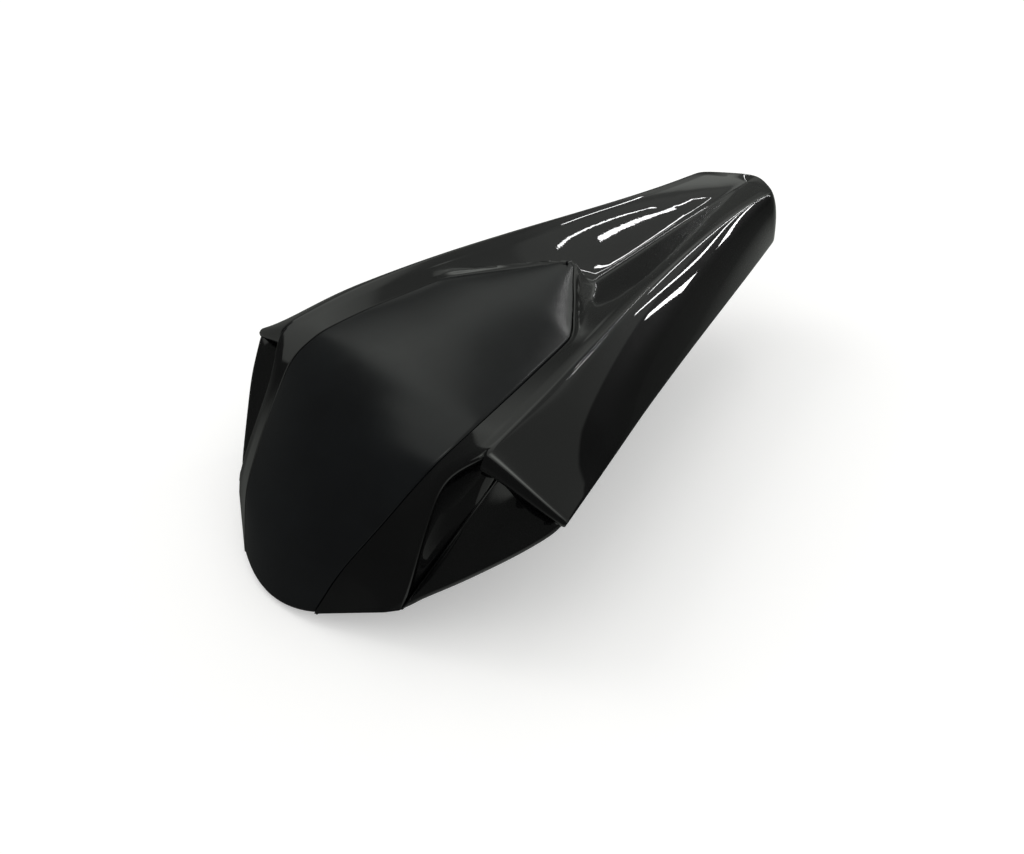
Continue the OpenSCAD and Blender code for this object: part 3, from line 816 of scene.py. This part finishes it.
@dataclass
class Shell:
    """The gloss outer moulding with its two blind scoops and its six screw bosses."""

    form: CowlForm
    start: float = 5.3  # knot number at which the leg ends and the flank begins
    wall: float = 3.0
    seat_wall: float = 1.5
    edge_wall: float = 0.7
    corner_r: float = 1.6
    # the scoop: which way its mouth and its lower rail face, how far its edges roll over,
    # and the top of its blind end at the leg and the wing, its wing end and its toe
    mouth_way: tuple = (0.379, -0.821, 0.427)
    rail_way: tuple = (-0.711, 0.037, 0.702)
    leg_roll: float = 1.6
    wing_roll: tuple = (8.5, 2.0)
    rail_roll: float = 1.8
    return_roll: float = 1.1
    blind: tuple = ((74, 24, 12), (83, 27, 17), (104, 22, 6.5), (79, 10, 7))
    # the screw bosses: their places, the pan's face under them in the part frame, their sizes
    boss_at: tuple = ((88, 50), (66, 120), (43, 205))
    pan_top: float = 28.5
    boss_r: float = 5.5
    boss_bite: float = 1.5
    bore_r: float = 2.8
    bore_deep: float = 9.5

    def stations(self) -> tuple[Array, Array]:
        """Choose the knot numbers, closer together where the lines bend.

        Returns:
            Those of the front leg and those of the ridge.
        """
        leg = ((0, 3.4, 26), (3.4, self.start, 28))
        ridge = ((self.start, 10.2, 48), (10.2, 16, 66), (16, 22, 40), (22, 25, 30))

        def spread(spans: tuple) -> Array:
            """Put the spans in a row, each but the last without its end."""
            parts = [np.linspace(a, b, n, endpoint=False) for a, b, n in spans[:-1]]
            return np.concatenate([*parts, np.linspace(*spans[-1])])

        return spread(leg), spread(ridge)

    def top(self, v: Array, line: dict[str, Array]) -> tuple[Array, Array]:
        """Rows from the middle of the panel's seat, up the seat's wall and over to the ridge.

        From the seat's edge a straight line runs to the ridge. Behind the panel's rear
        corner its height is the greater of valley and island, with the corner rounded.

        Args:
            v: knot numbers.
            line: the form's lines there.

        Returns:
            Points, one row per knot number, and the wall's thickness for each column.
        """
        f = self.form
        normal = f.face_normal(v, np.array([1.0]))[:, 0]
        run = unit(np.gradient(line["e"], axis=0) + 1e-6 * np.array([-1.0, 0.2, 0.0]))
        out = unit(np.cross(run, normal))
        deep = f.panel_t + f.gap
        s = np.array([0.0, 0.14, 0.28, 0.42, 0.56, 0.7, 0.84, 0.95, 1.0])
        floor = f.face(v, s) - deep * f.face_normal(v, s)
        edge = line["e"] + f.gap * out
        floor[:, -1] = edge - deep * normal
        cheek = np.stack([edge - d * normal for d in (2.2, 1.2, 0.5)], 1)
        curl = ((0.06, 0.22), (0.2, 0.07), (0.45, 0.0))
        lip = np.stack([edge + g * out - d * normal for g, d in curl], 1)
        begin = lip[:, -1]
        back = line["e"] - line["ki"]
        finish = line["ki"] + back * (f.rim / np.linalg.norm(back, axis=1))[:, None]
        length = np.linalg.norm(finish - begin, axis=1)[:, None]
        near = np.minimum(26.0, 0.55 * length)  # the island's wall falls in this stretch
        t = np.linspace(0, 1, 18)[None, :]
        u = np.linspace(0, 1, 12)[None, 1:]
        share = np.concatenate([near * t, near + (length - near) * u], 1) / length
        sheet = mix(begin[:, None, :], finish[:, None, :], share[..., None])
        x, y = sheet[..., 0], sheet[..., 1]
        high = smooth_max(f.valley(x, y), f.island(x, y), 5.0)
        # the rim meets the panel's own edge, so the height eases in over the first 3.2 mm
        high = mix(begin[:, None, 2], high, step(share * length, 0.0, 3.2))
        behind = step(v, *f.behind)
        sheet[..., 2] = mix(sheet[..., 2], high, behind[:, None])
        sheet[:, -1, 2] = mix(finish[:, 2], f.valley(finish[:, 0], finish[:, 1]), behind)
        rows = np.concatenate([floor, cheek, lip[:, :-1], sheet], 1)
        columns = (floor.shape[1], cheek.shape[1] + lip.shape[1] - 1, sheet.shape[1])
        return rows, np.repeat([self.wall, self.seat_wall, self.wall], columns)

    def crest(self, line: dict[str, Array]) -> tuple[Array, Array]:
        """Find where the ridge's outer corner starts to turn.

        Args:
            line: the form's lines.

        Returns:
            Unit directions across the ridge, outwards, and the points.
        """
        ki, ko = line["ki"], line["ko"]
        width = np.linalg.norm(ko - ki, axis=1)[:, None]
        over = (ko - ki) / width
        return over, ko - over * np.minimum(self.corner_r, 0.3 * width)

    def band(self, line: dict[str, Array], last: Array) -> Array:
        """Rows over the ridge's inner corner to the start of its outer corner.

        Args:
            line: the form's lines.
            last: the top's last column.

        Returns:
            Points, one row per knot number.
        """
        over, b = self.crest(line)
        a = line["ki"] + over * 1.5
        corner = bend(last, line["ki"], a, 5).transpose(1, 0, 2)
        return np.concatenate([corner, mix(a, b, 0.5)[:, None], b[:, None]], 1)

    def flank(self, v: Array, line: dict[str, Array]) -> Array:
        """Rows from the ridge's outer corner down the flank and round the lower lip.

        The flank is the straight line from ridge to lower edge pushed out along a
        direction that turns from up to outwards, by b sin(pi t^0.8).

        Args:
            v: knot numbers.
            line: the form's lines there.

        Returns:
            Points, one row per knot number.
        """
        ko, w = line["ko"], line["w"]
        run = np.gradient((ko + w) / 2, v, axis=0)
        out = unit(np.stack([run[:, 1], -run[:, 0], np.zeros(len(v))], -1))
        size = self.form.bulge * step(ko[:, 1], -20.0, 45.0)[:, None, None]
        t = np.linspace(0, 1, 22)[None, :, None] ** 1.15
        way = unit(mix(0.5 * out[:, None] + UP, 0.8 * out[:, None] + 0.8 * UP, t))
        sheet = mix(ko[:, None], w[:, None], t) + size * np.sin(math.pi * t**0.8) * way
        corner = bend(self.crest(line)[1], ko, sheet[:, 1], 5).transpose(1, 0, 2)
        down = unit(sheet[:, -1] - sheet[:, -2])
        inward = unit(-0.85 * out - 0.5 * UP)
        under = w + 1.6 * inward
        lip = bend(w - 1.8 * down, w + 0.2 * down, under, 5).transpose(1, 0, 2)
        back = (under + 1.4 * inward)[:, None]
        return np.concatenate([corner, sheet[:, 2:-2], lip, back], 1)

    def lower_lip(self, corner: Array) -> Array:
        """Points of the scoop's lower lip, from the wing tip down to the leg's foot.

        The form's line is set back 2.2 mm into the mouth, and drawn to the wing tip's corner
        by (1 - t)^2.

        Args:
            corner: the wing tip's last point.

        Returns:
            The points, without the corner.
        """
        knots = np.array(self.form.front_lip, dtype=float)
        n = 44
        line = rounded_line(knots, np.linspace(0.12, len(knots) - 1, n + 1), 0.3)
        fade = np.linspace(1, 0, n + 1)[:, None] ** 2
        sunk = line - 2.2 * np.array(self.mouth_way) * (1 - fade)
        return (sunk + (corner - line[0]) * fade)[1:]

    def blind_end(self, counts: tuple[int, ...]) -> Array:
        """Loop at the pocket's blind end: up the leg, out along the wing and back to the toe.

        Args:
            counts: how many points lie along the leg, the wing, the lower rail and the toe.

        Returns:
            The loop's points.
        """
        leg_top, wing_in, wing_out, toe = np.array(self.blind, dtype=float)
        leg_n, wing_n, rail_n, toe_n = counts
        climb = np.linspace(0, 1, leg_n)[:, None]
        leg = mix(toe, leg_top, np.clip(climb / 0.78, 0, 1))
        leg = mix(leg, wing_in, step(climb, 0.8, 1.0))
        flat = np.clip((np.arange(wing_n) - 3) / (wing_n - 9), 0, 1)[:, None]
        wing = mix(wing_in, wing_out, flat)
        rail = mix(wing_out, toe, np.linspace(0, 1, rail_n)[:, None])
        return rounded_loop(np.concatenate([leg, wing, rail, np.repeat(toe[None], toe_n, 0)]), 5)

    def scoop(self, skin: Skin, leg: Array, inner: Array, row: Array, ahead: Array) -> None:
        """Rolled rim of the scoop's mouth, its pocket and its blind end.

        The rim is two cubic curves: the first rolls from the moulding's edge, which it
        leaves smoothly, through a quarter turn, and the second turns back into the pocket.
        The pocket narrows in a straight line to the blind loop, which is closed by shrinking
        it to its centre.

        Args:
            skin: takes the grid.
            leg: outer edge of the leg's band, from its foot up.
            inner: the band's next column inwards.
            row: the moulding's first full row, from the band down to the lower lip.
            ahead: unit directions in which that row leaves the flank.
        """
        lip = self.lower_lip(row[-1])
        foot = mix(lip[-1], leg[0], np.linspace(0, 1, 7)[1:-1, None])
        outer = np.concatenate([leg, row[1:], lip, foot])
        counts = (len(leg), len(row) - 1, len(lip), len(foot))

        def around(*values: Array) -> Array:
            """Put the values of the leg, wing, rail and toe into one loop, with soft changes."""
            parts = [np.broadcast_to(a, (n, 3)) for a, n in zip(values, counts, strict=True)]
            return rounded_loop(np.concatenate(parts), 2)

        over = unit(leg - inner)
        leg_out = unit(np.cross(np.gradient(leg, axis=0), over))
        leg_out *= -np.sign(leg_out[:, 1:2])
        normal = unit(np.cross(np.gradient(row, axis=0), ahead))
        normal *= np.sign(normal[:, 2:])
        normal[-8:] = normal[-9]
        roll = np.linspace(*self.wing_roll, counts[1])[:, None]
        mouth = self.rail_roll * np.array(self.mouth_way)
        rail_in = unit(np.array(self.rail_way))
        toe_in = unit(rail_in + np.array([0.9, 0.4, 0.3]))
        leave = around(self.leg_roll * over, roll * ahead[1:], mouth, mouth)
        outward = around(
            self.leg_roll * leg_out, roll * normal[1:],
            -self.rail_roll * rail_in, -self.rail_roll * toe_in)
        blind = self.blind_end(counts)
        nose = outer + leave - outward
        turn = self.return_roll * unit(outward)
        way = unit(blind - nose)
        inside = nose - turn + self.return_roll * way
        rim = cubic(outer, outer + 0.55 * leave, nose + 0.45 * outward, nose, 8)
        back = cubic(nose, nose - 0.55 * turn, inside - 0.5 * way, inside, 5)[1:]
        pocket = mix(inside, blind, np.linspace(0, 1, 11)[1:, None, None])
        cap = mix(blind, blind.mean(0), np.array([0.1, 0.35, 0.7, 1.0])[:, None, None])
        cap[:, :, 1] += np.array([2.0, 3.2, 3.8, 4.0])[:, None]
        rows = np.concatenate([rim, back, pocket, cap])
        rows = np.concatenate([rows, rows[:, :1]], 1)
        wall = np.concatenate([
            np.linspace(1.2, self.edge_wall, len(rim) + len(back)),
            np.linspace(self.edge_wall, 2.0, len(pocket)),
            np.full(len(cap), 2.0),
        ])
        skin.grid(rows, wall[:, None], flip=False)

    def boss(self, x: float, y: float, top: float) -> Mesh:
        """Make one screw boss that stands on the pan, with a blind bore for its screw.

        The profile goes from the bore's bottom out to the foot, over a small chamfer, up the
        side and over the top, and is carried round the axis: r(u) cos a, r(u) sin a, z(u).

        Args:
            x: its place across, in part-frame millimetres.
            y: its place along.
            top: height of its top above the pan.

        Returns:
            Points, in shape-frame millimetres, and triangles.
        """
        bore, side, deep, chamfer = self.bore_r, self.boss_r, self.bore_deep, 0.4
        r = np.array([0.0, bore, bore, side - chamfer, side, side, 0.0])
        z = np.array([deep, deep, 0.0, 0.0, chamfer, top, top])
        a = np.linspace(0, 2 * math.pi, 29)
        first = unit(np.array([-0.2, 0.31, 0.0]))
        around = np.cos(a)[None, :, None] * first + np.sin(a)[None, :, None] * np.cross(UP, first)
        ring = r[:, None, None] * around
        skin = Skin()
        skin.grid(np.array([x, y, self.pan_top]) + ring + z[:, None, None] * UP, 0.0)
        p, tri, _ = skin.stitched()
        return from_part(p), tri

    def bosses(self, inner: Array) -> list[Mesh]:
        """Stand the six bosses under the moulding, each up to just inside its wall.

        Args:
            inner: points of the wall's inner face, in shape-frame millimetres.

        Returns:
            Points and triangles of each boss.
        """
        inner = to_part(inner) * 1000
        out = []
        for x, y in self.boss_at:
            for sign in (-1, 1):
                place = np.array([sign * x, y + STRIKER[1]])
                near = np.linalg.norm(inner[:, :2] - place, axis=1) < 7
                top = inner[near, 2].min() - self.pan_top + self.boss_bite
                out.append(self.boss(*place, top))
        return out

    def build(self) -> bpy.types.Object:
        """Make the moulding, dress it and put it in place of its solid.

        Returns:
            The piece.
        """
        skin = Skin()
        bands = []
        stations = self.stations()
        lines = [self.form.lines(v) for v in stations]
        for v, line in zip(stations, lines, strict=True):
            rows, wall = self.top(v, line)
            skin.grid(rows, wall)
            bands.append(self.band(line, rows[:, -1]))
            skin.grid(bands[-1], self.wall)
        side = self.flank(stations[1], lines[1])
        thin = 12  # columns over which the lower lip's wall gets thin
        full = np.full(side.shape[1] - thin, self.wall)
        skin.grid(side, np.concatenate([full, np.linspace(self.wall, self.edge_wall, thin)]))
        leg = bands[0]
        self.scoop(skin, leg[:, -1], leg[:, -2], side[0], unit(side[0] - side[1]))
        p, tri, depth = skin.mirrored().stitched()
        p, tri = thicken(p, tri, depth)
        p, tri = join([(p, tri), *self.bosses(p[len(p) // 2 :])])
        piece = make_piece("gloss_moulding", p, tri, LACQUERED_ABS.make())
        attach(piece, ROOT)
        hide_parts("cowl_shell")
        return piece


# ---------------------------------------------------------------- insert panel


@dataclass
class InsertPanel:
    """The satin panel with rounded edges."""

    form: CowlForm
    edge_r: float = 1.3
    # about how many millimetres a knot takes at the front edge, and half the panel's width
    knot_mm: float = 27.0
    half_mm: float = 52.0

    def build(self) -> bpy.types.Object:
        """Make the panel, dress it and put it in place of its solid.

        The face is the form's face. Near the outline each point sinks along the normal by
        r - sqrt(r^2 - (r - d)^2), where d is its distance from the edge, then runs down the side.

        Returns:
            The piece.
        """
        f, r = self.form, self.edge_r
        close = np.array([0.05, 0.2, 0.45, 0.8, 1.25])
        curl = r - np.sqrt(np.maximum(r * r - (r - close) ** 2, 0))
        down = np.array([2.4, 1.8, r])
        spans = ((0.08, 3.4, 34), (3.5, 10.4, 62), (10.5, 15.6, 60), (15.8, 25, 14))
        v = np.concatenate([[0.0] * 3, close / self.knot_mm, *(np.linspace(*n) for n in spans)])
        sink_v = np.concatenate([down, curl, np.zeros(len(v) - len(down) - len(curl))])
        half = np.linspace(0, 0.965, 26)
        s = np.concatenate([half, 1 - close[::-1] / self.half_mm, [1.0] * 3])
        sink_s = np.concatenate([np.zeros(len(half)), curl[::-1], down[::-1]])
        sink = np.maximum(sink_v[:, None], sink_s[None, :])
        skin = Skin()
        skin.grid(f.face(v, s) - sink[..., None] * f.face_normal(v, s), f.panel_t - sink)
        p, tri, depth = skin.mirrored().stitched()
        p, tri = thicken(p, tri, np.maximum(depth, 0.6))
        piece = make_piece("satin_insert_panel", p, tri, SATIN_ABS.make())
        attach(piece, ROOT)
        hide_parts("insert_panel")
        return piece


# ---------------------------------------------------------------- carried-over solids


@dataclass
class Hardware:
    """The solids that keep their own shape and get their real finish."""

    finishes: tuple = (
        (FILLED_NYLON, ("base_pan",)),
        (COATED_STEEL, ("front_hook",)),
        (ZINC_STEEL, (
            "hook_screws", "hook_washers", "hook_nuts", "striker_plate", "striker_washers",
            "striker_nuts", "pan_screws", "pan_washers")),
        (DRAWN_STEEL, ("striker_loop",)),
        (SPRING_STEEL, ("panel_push_nuts",)),
        (MOULDED_RUBBER, (
            "foot_front_left", "foot_front_right", "foot_rear_left", "foot_rear_right",
            "side_pad_left", "side_pad_right")),
    )

    def dress(self) -> int:
        """Give each solid its finish in its own material slots.

        Returns:
            How many solids there were.
        """
        count = 0
        for finish, names in self.finishes:
            material = finish.make()
            for name in names:
                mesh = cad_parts[name].data
                if not mesh.materials:
                    mesh.materials.append(material)
                for k in range(len(mesh.materials)):
                    mesh.materials[k] = material
                count += 1
        return count


# ---------------------------------------------------------------- studio


@dataclass(frozen=True)
class Lamp:
    """A flat lamp between the middles of its short sides, in metres; tubes are thin ones."""

    name: str
    first: tuple[float, float, float]
    last: tuple[float, float, float]
    width: float
    radiance: float = 24.0
    mirrored: bool = True

    def hang(self, target: Vector) -> None:
        """Hang the lamp so that it faces the target.

        A lamp that is not mirrored lights the object but keeps its shape out of reflections.

        Args:
            target: the point that it faces, in metres.
        """
        first, last = Vector(self.first), Vector(self.last)
        along, at = last - first, (first + last) / 2
        back = (at - target).normalized()
        x = (along - along.dot(back) * back).normalized()
        data = bpy.data.lights.new(self.name, "AREA")
        data.shape = "RECTANGLE"
        data.size, data.size_y = along.length, self.width
        data.energy = self.radiance * math.pi * along.length * self.width
        lamp = bpy.data.objects.new(self.name, data)
        turn = Matrix((x, back.cross(x), back)).transposed()
        lamp.matrix_world = Matrix.Translation(at) @ turn.to_4x4()
        lamp.visible_glossy = self.mirrored
        bpy.context.scene.collection.objects.link(lamp)


@dataclass
class Studio:
    """Pale floor, soft lamps, a tent that only mirrors see, and the camera."""

    # the camera: its focal length, its frame, its vanishing point of the lines across the object,
    # and its place in the shape frame
    focal_px: float = 1000.0
    frame_px: tuple[int, int] = (1024, 854)
    lean_px: tuple[float, float] = (-625.7, -224.4)
    eye_mm: tuple[float, float, float] = (351.6, -248.4, 269.6)
    sensor_mm: float = 36.0
    target: tuple[float, float, float] = (0.0, -0.06, 0.03)
    floor_reach: float = 12.0
    tent_reach: float = 5.0
    # the first five streak the ridges' far side, the sixth and seventh the near flank
    lamps: tuple[Lamp, ...] = (
        Lamp("tube_0", (-0.238, 0.852, 1.39), (-0.7, 1.15, 1.0), 0.014),
        Lamp("tube_1", (-0.09, 0.82, 1.415), (-0.076, 1.006, 1.336), 0.006),
        Lamp("tube_2", (-0.045, 0.866, 1.39), (-0.03, 1.03, 1.326), 0.012),
        Lamp("tube_3", (-0.035, 1.03, 1.32), (-0.077, 1.118, 1.272), 0.006),
        Lamp("tube_4", (0.098, 1.281, 0.962), (0.19, 1.44, 0.8), 0.03),
        Lamp("tube_5", (0.27, 1.26, 0.93), (0.43, 1.5, 0.57), 0.012),
        Lamp("tube_6", (0.455, 1.35, 0.71), (0.52, 1.49, 0.4), 0.024),
        Lamp("key", (-1.7, -0.9, 1.9), (-1.7, 0.5, 1.9), 1.2, radiance=1.6, mirrored=False),
        Lamp("fill", (1.5, -1.9, 1.4), (2.2, -1.0, 1.4), 0.9, radiance=0.6, mirrored=False),
    )
    # the tent by direction, in degrees round from the tail: the height of the dark cloth's
    # edge, half its softness, and the brightness above it and below it
    tent_edge: tuple = (
        (-180, 46), (-112, 56), (-96, 53), (-80, 52), (-76, 22), (-20, 22), (10, 22), (15, 28),
        (22, 31), (34, 37), (46, 37), (58, 12), (130, 10), (142, 39), (180, 46))
    tent_soft: tuple = ((-96, 2), (-78, 6), (-60, 12), (-20, 10), (4, 3), (16, 1.2))
    tent_pale: tuple = (
        (-180, 0.6), (-84, 0.75), (-70, 0.85), (-50, 0.5), (-20, 0.52), (-2, 0.5), (4, 0.38),
        (10, 0.33), (60, 0.36), (120, 0.45), (150, 0.55), (180, 0.6))
    tent_dark: tuple = (
        (-180, 0.08), (-110, 0.08), (-60, 0.08), (0, 0.1), (30, 0.05), (90, 0.06), (180, 0.08))

    def camera(self) -> None:
        """Put the camera where the photograph was taken from, by the vanishing point of the lines
        across the object.
        """
        cx, cy = self.frame_px[0] / 2, self.frame_px[1] / 2
        p = math.atan((cy - self.lean_px[1]) / self.focal_px)
        a = math.atan(self.focal_px / ((cx - self.lean_px[0]) * math.cos(p)))
        back = np.array([math.sin(a) * math.cos(p), -math.cos(a) * math.cos(p), math.sin(p)])
        right = np.array([math.cos(a), math.sin(a), 0.0])
        c, s = math.cos(LEAN), math.sin(LEAN)
        lean = np.array([[1, 0, 0], [0, c, s], [0, -s, c]])
        axes = lean @ np.stack([right, np.cross(back, right), back], axis=1)
        data = bpy.data.cameras.new("camera")
        data.sensor_width = self.sensor_mm
        data.lens = self.focal_px / self.frame_px[0] * self.sensor_mm
        data.clip_start, data.clip_end = 0.01, 60.0
        camera = bpy.data.objects.new("camera", data)
        eye = Vector(to_part(np.array(self.eye_mm)).tolist())
        camera.matrix_world = Matrix.Translation(eye) @ Matrix(axes.tolist()).to_4x4()
        bpy.context.scene.collection.objects.link(camera)
        bpy.context.scene.camera = camera

    def stand(
        self, name: str, points: Array, faces: Array, material: bpy.types.Material
    ) -> bpy.types.Object:
        """Put one piece of the studio in the scene and mark it as staging.

        Args:
            name: its name.
            points: points in metres.
            faces: the point numbers of each face.
            material: its material.

        Returns:
            The linked object.
        """
        mesh = bpy.data.meshes.new(name)
        mesh.from_pydata(points.tolist(), [], faces.tolist())
        mesh.materials.append(material)
        piece = bpy.data.objects.new(name, mesh)
        bpy.context.scene.collection.objects.link(piece)
        piece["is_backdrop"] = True
        return piece

    def seen(self, tree: Tree) -> Socket:
        """Tell the rays from the camera, from a mirror or through glass from all others.

        Args:
            tree: the node tree that asks.

        Returns:
            A socket that is 1 for those rays, else 0.
        """
        path = add_node(tree, "ShaderNodeLightPath").outputs
        most = path["Is Camera Ray"]
        for kind in ("Is Glossy Ray", "Is Transmission Ray"):
            both = {0: most, 1: path[kind]}
            most = add_node(tree, "ShaderNodeMath", {"operation": "MAXIMUM"}, both).outputs[0]
        return most

    def floor(self, level: float) -> None:
        """Lay a pale floor that keeps the object's shadow and shows white to the camera.

        Args:
            level: its height in metres.
        """
        r = self.floor_reach
        corners = np.array([(-r, -r, level), (r, -r, level), (r, r, level), (-r, r, level)])
        material = bpy.data.materials.new("pale_floor")
        tree = new_tree(material)
        strength = add_node(
            tree, "ShaderNodeMath", {"operation": "MULTIPLY"}, {0: self.seen(tree), 1: 0.3})
        shader = add_node(tree, "ShaderNodeBsdfPrincipled", {}, {
            "Base Color": linear("#f4f4f2"), "Roughness": 0.9, "Specular IOR Level": 0.1,
            "Emission Color": (1, 1, 1, 1), "Emission Strength": strength.outputs[0]})
        add_node(tree, "ShaderNodeOutputMaterial", {}, {"Surface": shader.outputs[0]})
        self.stand("floor", corners, np.array([(0, 1, 2, 3)]), material)

    def world(self) -> None:
        """Give plain grey light from all round, white where the camera or a mirror looks."""
        world = bpy.data.worlds.new("studio")
        bpy.context.scene.world = world
        world.cycles.sampling_method = "NONE"
        tree = new_tree(world)
        level = add_node(tree, "ShaderNodeMapRange", {}, {
            "Value": self.seen(tree), "To Min": 0.7, "To Max": 1.0})
        sky = add_node(tree, "ShaderNodeBackground", {}, {
            "Color": (1, 1, 1, 1), "Strength": level.outputs[0]})
        add_node(tree, "ShaderNodeOutputWorld", {}, {"Surface": sky.outputs[0]})

    def lights(self) -> None:
        """Hang the thin tubes whose streaks run along the ridges, and two broad soft lamps."""
        for lamp in self.lamps:
            lamp.hang(Vector(self.target))

    def glow(self, turn: Array, rise: Array) -> Array:
        """Brightness of the tent's cloth by direction.

        Dark cloth reaches up to an edge whose height changes round the tent, and a pale
        ceiling begins there: dark + (pale - dark) step(rise - edge). Three patches of the
        ceiling are dimmer: one high over the tail, one low on the left, and a small one
        between them. A bright window lies low over the tail, and a soft patch high over the
        object's front.

        Args:
            turn: degrees round from the tail.
            rise: degrees up.

        Returns:
            The brightness in each direction.
        """
        edge, soft = read(self.tent_edge, turn), read(self.tent_soft, turn)
        dark = read(self.tent_dark, turn)
        high = step(rise, 36, 42) * between(turn, (-57, -50), (-16, -9))
        low = between(turn, (-85, -80), (-60, -53)) * (1 - step(rise, 30, 38))
        small = patch(turn, rise, (-34, 43), (7, 7))
        pale = read(self.tent_pale, turn) * (1 - 0.4 * high) * (1 - 0.45 * low) * (1 - 0.65 * small)
        window = between(turn, (-29, -24.5), (-17, -12)) * between(rise, (29, 31), (41, 44))
        over = patch(turn, rise, (148, 61), (17, 10))
        ceiling = step(rise, edge - soft, edge + soft)
        return dark + (pale - dark) * ceiling + 0.5 * window + 2.2 * over

    def tent(self, level: float) -> None:
        """Hang the tent round the object and lay the mat under it, which only mirrors see.

        The tent is a sphere of directions, whose brightness at each point is glow. The mat is
        a disc with a low rim: dark, with a paler patch ahead of the tail and one on the left.

        Args:
            level: the floor's height in metres.
        """
        turn, rise = np.meshgrid(np.linspace(-180, 180, 361), np.linspace(-90, 90, 181))
        a, e = np.radians(turn), np.radians(rise)
        ways = np.stack([np.sin(a) * np.cos(e), np.cos(a) * np.cos(e), np.sin(e)], -1)
        middle = np.array([self.target[0], self.target[1], level])
        self.reflector("tent", middle + self.tent_reach * ways, self.glow(turn, rise))
        far = np.array([0.0, 0.1, 0.2, 0.3, 0.4, 0.6, 0.8, 0.8])
        a, far = np.meshgrid(np.radians(np.linspace(0, 360, 73)), far)
        high = np.full_like(far, 0.0004)
        high[-1] += 0.15
        rows = middle + np.stack([far * np.sin(a), far * np.cos(a), high], -1)
        ahead = np.exp(-((np.minimum(a, 2 * math.pi - a) / 0.35) ** 2))
        front = np.exp(-(((a - math.radians(141)) / 0.25) ** 2))
        ahead *= between(far, (0.2, 0.3), (0.5, 0.7))
        front *= between(far, (0.1, 0.17), (0.3, 0.45))
        self.reflector("mat", rows, 0.08 + 0.3 * ahead + 0.5 * front)

    def reflector(self, name: str, rows: Array, value: Array) -> None:
        """Put up a sheet of cloth that shows in reflections only.

        Args:
            name: its name.
            rows: points, m by n by 3, in metres.
            value: brightness at each point, m by n.
        """
        index = np.arange(value.size).reshape(value.shape)
        corners = [index[:-1, :-1], index[1:, :-1], index[1:, 1:], index[:-1, 1:]]
        faces = np.stack(corners, -1).reshape(-1, 4)
        sheet = self.stand(name, rows.reshape(-1, 3), faces, self.cloth(name + "_cloth"))
        tone = sheet.data.attributes.new("glow", "FLOAT", "POINT")
        tone.data.foreach_set("value", value.reshape(-1).astype(np.float32))
        for kind in ("camera", "diffuse", "shadow", "transmission", "volume_scatter"):
            setattr(sheet, "visible_" + kind, False)

    def cloth(self, name: str) -> bpy.types.Material:
        """Make cloth that glows by the brightness kept at its points.

        Args:
            name: the material's name.

        Returns:
            The material.
        """
        material = bpy.data.materials.new(name)
        material.cycles.emission_sampling = "NONE"
        tree = new_tree(material)
        tone = add_node(tree, "ShaderNodeAttribute", {"attribute_name": "glow"})
        shine = add_node(tree, "ShaderNodeEmission", {}, {
            "Color": (0.98, 1.02, 0.96, 1.0), "Strength": tone.outputs["Fac"]})
        add_node(tree, "ShaderNodeOutputMaterial", {}, {"Surface": shine.outputs[0]})
        return material


def main() -> None:
    """Build the pieces in order, light them, and report each one."""
    logging.basicConfig(level=logging.INFO, format="%(message)s")
    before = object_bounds()
    bpy.context.scene.view_settings.view_transform = "Standard"
    form = CowlForm()
    for part in (Shell(form), InsertPanel(form)):
        piece = part.build()
        LOG.info("%s: %d triangles", piece.name, len(piece.data.polygons))
    LOG.info("dressed %d solids", Hardware().dress())
    studio = Studio()
    studio.camera()
    studio.world()
    studio.lights()
    level = before[0].z - 0.0005
    studio.floor(level)
    studio.tent(level)


if __name__ == "__main__":
    main()
